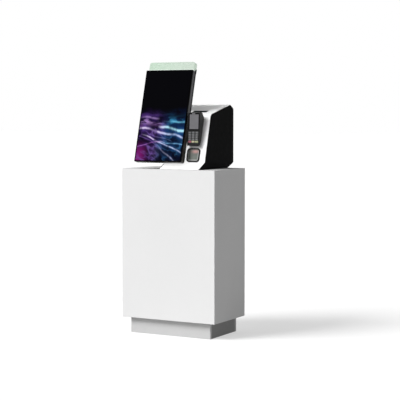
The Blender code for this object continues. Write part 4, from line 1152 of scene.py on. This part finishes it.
piece("tear_edge", stack([[(x, y, zs[1] - 0.0004) for x, y in tear], [(x, y, zs[1]) for x, y in tear]]), "steel_bright", sharp=20)

# printer: cradle, roll, paper path, platen with its gear, print head
cx0, cx1 = PRINT_X - 0.048, PRINT_X + 0.048
chassis = to_object("printer_cradle", box((cx0, 0.015, 1.1035), (cx1, 0.165, 1.1065)), "steel_plate")
cheek = [(0.015, 1.1035), (0.165, 1.1035), (0.165, 1.178), (0.078, 1.178), (0.056, 1.194), (0.015, 1.194)]
carve(chassis, prism_x(cheek, cx0, cx0 + 0.003), 'UNION')
carve(chassis, prism_x(cheek, cx1 - 0.003, cx1), 'UNION')
carve(chassis, box((cx0 + 0.001, 0.0170, 1.1035), (cx1 - 0.001, 0.0222, 1.192)), 'UNION')
carve(chassis, join([stack([[(x, y, z) for y, z in rrect(0.030, 0.010, 0.004, 5, cy, cz)] for x in (cx0 - 0.01, cx1 + 0.01)])
                     for cy, cz in ((0.130, 1.118),)]))
soften(chassis, 0.0005, 2, 50)
put(chassis, "kiosk", ("printer_chassis",))
screws("cradle_screws", [((cx1 + 0.0001, y, z), (1, 0, 0)) for y, z in ((0.025, 1.112), (0.155, 1.112), (0.030, 1.184))] +
       [((cx0 - 0.0001, y, z), (-1, 0, 0)) for y, z in ((0.025, 1.112), (0.155, 1.112), (0.030, 1.184))], 0.0028)
AX = Matrix(((0, 0, 1, 0), (1, 0, 0, 0), (0, 1, 0, 0), (0, 0, 0, 1)))      # local Z along +X


def axle(x, y, z):
    return Matrix.Translation((x, y, z)) @ AX


piece("spindle_bar", turned([(0.0050, cx0 + 0.0033 - PRINT_X), (0.0060, cx0 + 0.0043 - PRINT_X), (0.0060, cx1 - 0.0043 - PRINT_X),
                             (0.0050, cx1 - 0.0033 - PRINT_X)], 40), "plastic_black", matrix=axle(PRINT_X, ROLL_Y, ROLL_Z),
      stands=("paper_spindle",))
hwr = ROLL_W / 2
roll_bm = ring_of([at_z(circle(r, 96), z) for r, z in (
    (0.0068, -hwr), (0.0088, -hwr), (0.0088, -hwr + 0.0006), (0.0090, -hwr + 0.0006), (ROLL_R - 0.0003, -hwr),
    (ROLL_R, -hwr + 0.0003), (ROLL_R, hwr - 0.0003), (ROLL_R - 0.0003, hwr), (0.0090, hwr - 0.0006), (0.0088, hwr - 0.0006),
    (0.0088, hwr), (0.0068, hwr))])
bmesh.ops.transform(roll_bm, matrix=AX, verts=roll_bm.verts[:])
roll = to_object("receipt_roll", roll_bm, "paper_white")
roll.location = (PRINT_X, ROLL_Y, ROLL_Z)
shade(roll, 30)
put(roll, "roll", ("paper_roll",))
piece("roll_core", ring_of([at_z(circle(r, 48), z) for r, z in (
    (0.0067, -hwr - 0.0002), (0.0087, -hwr - 0.0002), (0.0087, hwr + 0.0002), (0.0067, hwr + 0.0002))]),
    "card_brown", "roll", axle(PRINT_X, ROLL_Y, ROLL_Z))
# paper led off the roll, round the platen and up to the slot
path = []
ro, rp = ROLL_R + 0.0002, PLATEN_R + 0.0003
a0 = math.atan2(PLATEN_Z - ROLL_Z, PLATEN_Y - ROLL_Y)
gap_l = math.hypot(PLATEN_Z - ROLL_Z, PLATEN_Y - ROLL_Y)
off = math.acos((ro - rp) / gap_l)
ta = a0 + off                                            # both tangent points lie at this angle
for k in range(5):
    a = ta - math.radians(4) * (4 - k)
    path.append((ROLL_Y + ro * math.cos(a), ROLL_Z + ro * math.sin(a)))
a_end = math.pi
n_arc = 12
for k in range(n_arc + 1):
    a = ta + (a_end - ta) * k / n_arc if ta < a_end else ta - (ta - a_end) * k / n_arc
    path.append((PLATEN_Y + rp * math.cos(a), PLATEN_Z + rp * math.sin(a)))
path += [(PLATEN_Y - rp - 0.0001, 1.190), (PLATEN_Y - rp - 0.0002, 1.198), (PLATEN_Y - rp - 0.0002, 1.2055)]
loops = []
for i, (y, z) in enumerate(path):
    ya, za = path[max(0, i - 1)]
    yb, zb = path[min(len(path) - 1, i + 1)]
    l = math.hypot(yb - ya, zb - za)
    ny, nz = -(zb - za) / l * 0.00006, (yb - ya) / l * 0.00006
    loops.append([(PRINT_X - 0.0396, y - ny, z - nz), (PRINT_X + 0.0396, y - ny, z - nz),
                  (PRINT_X + 0.0396, y + ny, z + nz), (PRINT_X - 0.0396, y + ny, z + nz)])
piece("paper_web", stack(loops), "paper_white", sharp=60)

platen = turned([(0.0026, cx0 + 0.0033 - PRINT_X), (0.0030, cx0 + 0.0037 - PRINT_X), (0.0030, -0.0420), (PLATEN_R - 0.0004, -0.0420),
                 (PLATEN_R, -0.0416), (PLATEN_R, 0.0416), (PLATEN_R - 0.0004, 0.0420), (0.0030, 0.0420),
                 (0.0030, cx1 - 0.0037 - PRINT_X), (0.0026, cx1 - 0.0033 - PRINT_X)], 40)
bmesh.ops.transform(platen, matrix=AX, verts=platen.verts[:])
pl = to_object("platen_rubber", platen, "rubber_black")
pl.location = (PRINT_X, PLATEN_Y, PLATEN_Z)
shade(pl, 30)
put(pl, "platen", ("platen_roller",))
gear = []
for i in range(22):
    for f, r in ((0.0, 0.0056), (0.22, 0.0068), (0.48, 0.0068), (0.70, 0.0056)):
        a = 2 * math.pi * (i + f) / 22
        gear.append((r * math.cos(a), r * math.sin(a)))
piece("platen_gear", stack([at_z(gear, 0.0424), at_z(gear, 0.0443)]), "key_grey", "platen",
      axle(PRINT_X, PLATEN_Y, PLATEN_Z), sharp=25)
hd_ob = to_object("print_bar", soft_box((PRINT_X - 0.042, 0.0225, 1.172), (PRINT_X + 0.042, 0.0299, 1.193), 0.0007, 2), "steel_plate")
carve(hd_ob, join([box((PRINT_X - 0.039 + 0.006 * i, 0.0215, 1.1895), (PRINT_X - 0.0360 + 0.006 * i, 0.0260, 1.195)) for i in range(13)]))
shade(hd_ob, 30)
put(hd_ob, "kiosk", ("print_head",))

# controller: finned lid, ports and fixing screws
ctl = to_object("controller_case", soft_box((-0.045, 0.000, HEAD_Z), (0.015, 0.145, HEAD_Z + 0.130), 0.0022, 3), "pc_grey")
cz = HEAD_Z + 0.130
carve(ctl, join([box((-0.0392 + 0.0052 * i, 0.006, cz - 0.010), (-0.0366 + 0.0052 * i, 0.139, cz + 0.01)) for i in range(10)]))
ports = [(0.050, 0.034, 0.0150, 0.0130), (0.070, 0.034, 0.0150, 0.0130), (0.092, 0.034, 0.0160, 0.0140), (0.116, 0.034, 0.0160, 0.0060),
         (0.050, 0.062, 0.0150, 0.0060), (0.072, 0.062, 0.0150, 0.0060), (0.098, 0.062, 0.0300, 0.0110)]
carve(ctl, join([box((0.0095, y - w / 2, HEAD_Z + z - h / 2), (0.030, y + w / 2, HEAD_Z + z + h / 2)) for y, z, w, h in ports]))
shade(ctl, 30)
put(ctl, "kiosk", ("controller_pc",))
piece("controller_sockets", join([soft_box((0.0096, y - w / 2 + 0.0012, HEAD_Z + z - h * 0.22), (0.0146, y + w / 2 - 0.0012, HEAD_Z + z + h * 0.22),
                                           0.0003, 1) for y, z, w, h in ports]), "plastic_black")
screws("controller_screws", [((x, y, cz - 0.0001), (0, 0, 1)) for x, y in ((-0.0425, 0.004), (0.0125, 0.004), (-0.0425, 0.141), (0.0125, 0.141))],
       0.0018)

# ------------------------------------------------------- barcode scanner
SC = FRONT @ Matrix.Translation((SCAN_X, SCAN_S, 0))


def rr(w, h, r, z, seg=10):
    return at_z(rrect(w, h, r, seg), z)


piece("scanner_frame", ring_of([
    rr(0.0560, 0.0536, 0.008, -0.0100), rr(0.0654, 0.0650, 0.0107, -0.0100),
    rr(0.0654, 0.0650, 0.0107, GAP), rr(0.0794, 0.0770, 0.0177, GAP), rr(0.0800, 0.0776, 0.0180, 0.0006),
    rr(0.0800, 0.0776, 0.0180, 0.0020), rr(0.0797, 0.0773, 0.0179, 0.0025), rr(0.0791, 0.0767, 0.0176, 0.0029),
    rr(0.0782, 0.0758, 0.0171, 0.0032), rr(0.0668, 0.0644, 0.0118, 0.0032), rr(0.0655, 0.0631, 0.0112, 0.0030),
    rr(0.0648, 0.0624, 0.0109, 0.0024), rr(0.0646, 0.0622, 0.0108, 0.0006), rr(0.0560, 0.0536, 0.008, 0.0006)]),
    "bezel_black", matrix=SC, stands=("scanner_bezel",))
piece("scanner_pane", stack([rr(0.0640, 0.0616, 0.0105, 0.0009), rr(0.0640, 0.0616, 0.0105, 0.0021),
                             rr(0.0638, 0.0614, 0.0104, 0.0024), rr(0.0632, 0.0608, 0.0101, 0.0026)]),
      "scan_glass", matrix=SC, stands=("scanner_window",))
eng = to_object("scan_engine", stack([rr(0.049, 0.043, 0.003, -0.0360, 4), rr(0.050, 0.044, 0.003, -0.0352, 4),
                                      rr(0.050, 0.044, 0.003, -0.0110, 4), rr(0.0492, 0.0432, 0.0028, -0.0103, 4)]), "plastic_black")
for ex, er in ((0.0, 0.0075), (-0.0165, 0.004), (0.0165, 0.004)):
    carve(eng, cyl('z', er, (ex, 0.002), -0.0150, 0.0, 32))
shade(eng, 32)
eng.matrix_world = SC
put(eng, "kiosk", ("scanner_engine",))

# ------------------------------------------------------ payment terminal
TERM = plane_frame((TERM_X, TERM_Y, TERM_Z), TERM_TILT)
TERM_INV = TERM.inverted()
th = TERM_W / 2


def term_yz(y, z):
    p = TERM_INV @ Vector((TERM_X, y, z))
    return (p.y, p.z)


fdir = Vector((math.sin(TILT), math.cos(TILT)))
fout = Vector((-math.cos(TILT), math.sin(TILT)))


def on_front(s, d):
    q = Vector(P2) + fdir * s + fout * d
    return (q.x, q.y)


back = [term_yz(-0.0700, 1.2050), term_yz(-0.0590, 1.2000), term_yz(*on_front(0.2440, 0.0035)),
        term_yz(*on_front(0.1180, 0.0035)), term_yz(-0.0870, 1.0280)]
prof = [(0.0035, 0.0), (TERM_H - 0.005, 0.0), (TERM_H - 0.001, -0.003)] + back + [(0.0, -0.0035)]


def prof_rows(steps):
    """The side outline, drawn in by a little at each side of the body."""
    cv = sum(p[0] for p in prof) / len(prof)
    cn = sum(p[1] for p in prof) / len(prof)
    rows = []
    for x, g in steps:
        row = []
        for v, n in prof:
            d = Vector((v - cv, n - cn))
            row.append((x, v - math.copysign(min(g, abs(d.x)), d.x) * (0.5 if 0.03 < v < 0.15 else 1.0),
                        n - (g if n > -0.004 else 0.0)))
        rows.append(row)
    return rows


steps = []
for k in range(7):
    a = math.pi / 2 * k / 6
    steps.append((-th + 0.0026 * (1 - math.cos(a)), 0.0026 * (1 - math.sin(a))))
steps += [(-x, g) for x, g in reversed(steps)]
tb = to_object("terminal_case", stack(prof_rows(steps)), "terminal_dark")
SCR_V0, SCR_V1, WELL_V0, WELL_V1 = 0.0830, 0.1745, 0.0110, 0.0775
sm, wm = (SCR_V0 + SCR_V1) / 2, (WELL_V0 + WELL_V1) / 2
carve(tb, stack([at_z(rrect(0.0646, SCR_V1 - SCR_V0 + 0.0006, 0.0043, 8, 0, sm), z) for z in (-0.0020, 0.01)]))
carve(tb, stack([at_z(rrect(0.0650 + g, WELL_V1 - WELL_V0 + g, 0.003 + g / 2, 6, 0, wm), z)
                 for g, z in ((0, -0.0043), (0, -0.0008), (0.0016, 0.0002), (0.0016, 0.01))]))
carve(tb, box((-0.0280, -0.01, -0.0085), (0.0280, 0.0300, -0.0062)))
carve(tb, box((th - 0.0080, -0.02, -0.0165), (th + 0.01, TERM_H + 0.02, -0.0140)))
carve(tb, box((th - 0.0012, -0.02, -0.0300), (th + 0.01, TERM_H + 0.02, -0.0288)))
soften(tb, 0.00035, 2, 48)
tb.matrix_world = TERM
put(tb, "kiosk", ("terminal_body",))
piece("terminal_glass", stack([at_z(rrect(0.0640 - 2 * i, SCR_V1 - SCR_V0 - 2 * i, 0.004, 8, 0, sm), z)
                               for i, z in ((0, -0.0017), (0, 0.0002), (0.00015, 0.0005), (0.0005, 0.0008))]),
      "terminal_lens", matrix=TERM, stands=("terminal_screen",))
# grey reader tab at the head of the screen
piece("reader_tab", stack([at_z(rrect(0.0190 - 2 * i, 0.0090 - 2 * i, 0.0022, 6, 0, 0.1712), z)
                           for i, z in ((0, 0.0009), (0, 0.0014), (0.0003, 0.0018), (0.0009, 0.0020))]), "tab_grey", matrix=TERM)
# card slot lip
piece("card_lip", join([soft_box((-0.0295, -0.0008, -0.0100), (0.0295, 0.0002, -0.0088), 0.0003, 2)]), "plastic_black", matrix=TERM)

LEGENDS = {"star": "*", "hash": "#", "cancel": "X", "clear": "<", "enter": "O"}
names = [("1", "2", "3"), ("4", "5", "6"), ("7", "8", "9"), ("star", "0", "hash"), ("cancel", "clear", "enter")]
for r, row in enumerate(names):
    for c, kn in enumerate(row):
        node = "key_" + kn
        kx, kv = (c - 1) * KEY_PITCH_X, 0.0707 - r * KEY_PITCH_V
        finish = ("key_red", "key_yellow", "key_green")[c] if r == 4 else "key_grey"
        KM = TERM @ Matrix.Translation((kx, kv, 0.0009))
        shape = [(0.0004, -0.0032), (0, -0.0028), (0, -0.0010), (0.00015, -0.0005), (0.0004, -0.00018), (0.0008, 0.0),
                 (0.0014, -0.00002), (0.0022, -0.00018), (0.0032, -0.00028)]
        piece("cap_" + kn, stack([at_z(rrect(KEY_W - 2 * i, KEY_H - 2 * i, max(0.0022 - i, 0.0006), 5), z) for i, z in shape]),
              finish, node, KM, (node,), sharp=40)
        low = 0.0009 if kn == "star" else 0.0
        legend("sign_" + kn, LEGENDS.get(kn, kn), 0.0072 if kn != "star" else 0.0100, "legend_dark" if r == 4 else "legend_light",
               node, KM @ Matrix.Translation((0, -low, -0.00022)))

br = [term_yz(*on_front(0.130, GAP)), term_yz(*on_front(0.130, 0.0032)), term_yz(*on_front(0.230, 0.0032)),
      term_yz(*on_front(0.230, GAP))]
piece("terminal_mount", stack([[(x, v, n) for v, n in br] for x in (-0.022, 0.022)]), "plastic_black", matrix=TERM,
      stands=("terminal_bracket",))

# --------------------------------------------------------------- display
DSP = plane_frame(DISP_O, DISP_TILT)
DSP_INV = DSP.inverted()
dcx, dcy = DISP_W / 2, DISP_H / 2


def drr(inset, r, z, seg=8):
    return at_z(rrect(DISP_W - 2 * inset, DISP_H - 2 * inset, r, seg, dcx, dcy), z)


piece("display_pane", stack([drr(0.0002, 0.0033, -0.0030), drr(0, 0.0035, -0.0028), drr(0, 0.0035, -0.0006),
                             drr(0.00012, 0.0034, -0.00025), drr(0.0003, 0.0033, -0.00008), drr(0.0006, 0.0030, 0.0)]),
      "glass_black", matrix=DSP, stands=("display_glass",), sharp=50)
piece("display_rim", ring_of([drr(0.0074, 0.001, -0.0283), drr(0.0010, 0.0030, -0.0283), drr(0.0006, 0.0032, -0.0279),
                              drr(0.0006, 0.0032, -0.0037), drr(0.0010, 0.0030, -0.0033), drr(0.0074, 0.001, -0.0033)]),
      "frame_grey", matrix=DSP, stands=("display_frame",))
DB = -DISP_T
cover = to_object("display_rear_cover", stack([drr(0.0080, 0.0080, DB), drr(0.0052, 0.0072, DB + 0.0002), drr(0.0034, 0.006, DB + 0.0007),
                                               drr(0.0020, 0.005, DB + 0.0016), drr(0.0013, 0.004, DB + 0.0028),
                                               drr(0.0010, 0.0035, DB + 0.0042), drr(0.0010, 0.0032, -0.0286)]), "plastic_black")
vents = []
for i in range(26):
    vents.append(stack([at_z(rrect(0.0028, 0.030, 0.0014, 4, dcx - 0.0975 + 0.0078 * i, DISP_H - 0.052), z) for z in (-0.06, DB + 0.0032)]))
for i in range(14):
    vents.append(stack([at_z(rrect(0.0028, 0.020, 0.0014, 4, dcx - 0.0507 + 0.0078 * i, 0.052), z) for z in (-0.06, DB + 0.0032)]))
carve(cover, join(vents))
carve(cover, stack([at_z(rrect(0.118, 0.118, 0.004, 5, dcx, 0.300), z) for z in (-0.06, DB + 0.0014)]))
heel = [(-0.0100, -0.0193), (-0.0100, -0.0600), (0.0258, -0.0600)]
carve(cover, stack([[(x, v, n) for v, n in heel] for x in (-0.010, DISP_W + 0.010)]))
ledge = [(DISP_H - 0.010, DB), (DISP_H + 0.0130, DB), (DISP_H + 0.0135, DB + 0.0006),
         (DISP_H + 0.0045, -0.0288), (DISP_H - 0.010, -0.0288)]
carve(cover, stack([[(x, v, n) for v, n in ledge] for x in (0.0012, DISP_W - 0.0012)]), 'UNION')
soften(cover, 0.0004, 2, 44)
cover.matrix_world = DSP
put(cover, "kiosk", ("display_back_cover",))


def dsp_place(x, v, n):
    q = DSP @ Vector((x, v, n))
    return ((q.x, q.y, q.z), tuple((DSP.to_3x3() @ Vector((0, 0, -1)))))


screws("display_screws", [dsp_place(x, v, n) for x, v, n in
                          ((0.018, 0.034, DB - 0.0001), (DISP_W - 0.018, 0.034, DB - 0.0001), (0.018, DISP_H - 0.018, DB - 0.0001),
                           (DISP_W - 0.018, DISP_H - 0.018, DB - 0.0001), (dcx - 0.050, 0.250, DB + 0.0013), (dcx + 0.050, 0.250, DB + 0.0013),
                           (dcx - 0.050, 0.350, DB + 0.0013), (dcx + 0.050, 0.350, DB + 0.0013))], 0.0030)
brk = to_object("display_arm", box((0.086, 0.090, DB - 0.0033), (0.246, 0.232, DB - 0.0003)), "steel_plate")


def disp_vn(y, z):
    p = DSP_INV @ Vector((0, y, z))
    return (p.y, p.z)


boss = [disp_vn(*on_front(0.112, GAP)), disp_vn(*on_front(0.220, GAP)), (0.222, DB - 0.0020), (0.108, DB - 0.0020)]
carve(brk, stack([[(x, v, n) for v, n in boss] for x in (0.174, 0.245)]), 'UNION')
soften(brk, 0.0006, 2, 40)
brk.matrix_world = DSP
put(brk, "kiosk", ("display_bracket",))
screws("bracket_screws", [dsp_place(x, v, DB - 0.0034) for x, v in ((0.094, 0.098), (0.094, 0.224), (0.150, 0.098), (0.150, 0.224))], 0.0034)

# status light: hollow frosted cap over a strip of diodes
LX0, LX1 = 0.0075, DISP_W - 0.0014
LV0, LV1 = DISP_H - 0.0003, DISP_H + 0.0495
LN0, LN1, LIGHT_R = -0.0430, -0.0130, 0.013


def cap_outline(inset, low):
    r = LIGHT_R - inset
    pts = [(LX0 + inset, low), (LX1 - inset, low)]
    for k, cx in ((0, LX1 - LIGHT_R), (1, LX0 + LIGHT_R)):
        for i in range(17):
            a = math.pi / 2 * (k + i / 16)
            pts.append((cx + r * math.cos(a), LV1 - LIGHT_R + r * math.sin(a)))
    return pts


def cap_steps(n0, n1, r, sign=1):
    return [(0.9 * r, n0), (0.35 * r, n0 + 0.18 * r), (0.0, n0 + r), (0.0, n1 - r), (0.35 * r, n1 - 0.18 * r), (0.9 * r, n1)]


cap = to_object("light_cover", stack([at_z(cap_outline(i, LV0), z) for i, z in cap_steps(LN0, LN1, 0.0014)]), "diffuser_green")
carve(cap, stack([at_z(cap_outline(0.0022 + i, LV0 - 0.01), z) for i, z in cap_steps(LN0 + 0.0022, LN1 - 0.0022, 0.0008)]))
notch = [(DISP_H - 0.030, -0.0600), (DISP_H + 0.0237, -0.0600), (DISP_H + 0.0047, -0.0284), (DISP_H - 0.030, -0.0284)]
carve(cap, stack([[(x, v, n) for v, n in notch] for x in (-0.010, DISP_W + 0.010)]))
shade(cap, 40)
cap.matrix_world = DSP
put(cap, "kiosk", ("status_light_cover",))
piece("light_strip", soft_box((0.012, LV0 + 0.0001, -0.0275), (DISP_W - 0.010, LV0 + 0.0018, -0.0191), 0.0002, 1), "board_green",
      matrix=DSP, stands=("status_light_board",))
piece("light_diodes", join([soft_box((0.0240 + 0.0113 * i - 0.0018, LV0 + 0.0018, -0.0251), (0.0240 + 0.0113 * i + 0.0018, LV0 + 0.0029, -0.0215),
                                     0.0003, 1) for i in range(23)]), "led_glow", matrix=DSP)

# ------------------------------------------- pieces kept as the part has them
KEPT = {"door_pivot_pin_upper": "steel_bright", "door_pivot_pin_lower": "steel_bright", "lid_hinge_rod": "steel_bright",
        "display_panel": "pc_grey"}
left = [n for n, o in NODES.items() if not o.hide_render and n not in KEPT]
if left:
    raise SystemExit("nodes with no finish: %s" % left)
for name, finish in KEPT.items():
    ob = NODES[name]
    ob.data.materials.clear()
    ob.data.materials.append(M[finish])
    w = ob.modifiers.new("weld", 'WELD')
    w.merge_threshold = 0.00001
    b = ob.modifiers.new("edge", 'BEVEL')
    b.width, b.segments, b.limit_method, b.angle_limit = 0.0004, 2, 'ANGLE', math.radians(50)

# ---------------------------------------------------------- light linking


def linked(name, objects, state):
    c = bpy.data.collections.new(name)
    for ob in objects:
        c.objects.link(ob)
    for item in c.collection_objects:
        item.light_linking.link_state = state
    return c


# the display stands close in front of the head: its shadow is kept off the
# head's white front, as a large frontal softbox would do
display_group = [bpy.data.objects[n] for n in ("display_pane", "display_rim", "display_rear_cover", "light_cover",
                                               "light_strip", "light_diodes")] + [NODES["display_panel"]]
glass = bpy.data.objects["display_pane"]
key.light_linking.receiver_collection = linked("key_receivers", [front, glass], 'EXCLUDE')
fill.light_linking.receiver_collection = linked("broad_receivers", [glass, bpy.data.objects["top_board"]], 'EXCLUDE')
key_front.light_linking.receiver_collection = linked("front_receivers", [front], 'INCLUDE')
key_front.light_linking.blocker_collection = linked("front_blockers", display_group, 'EXCLUDE')
front_fill.light_linking.receiver_collection = linked("fill_receivers", [front, lid], 'INCLUDE')
top_fill.light_linking.receiver_collection = linked("top_receivers", [lid], 'INCLUDE')

back_light.light_linking.receiver_collection = linked("back_receivers", [floor, lid, front, bpy.data.objects["top_board"]], 'EXCLUDE')
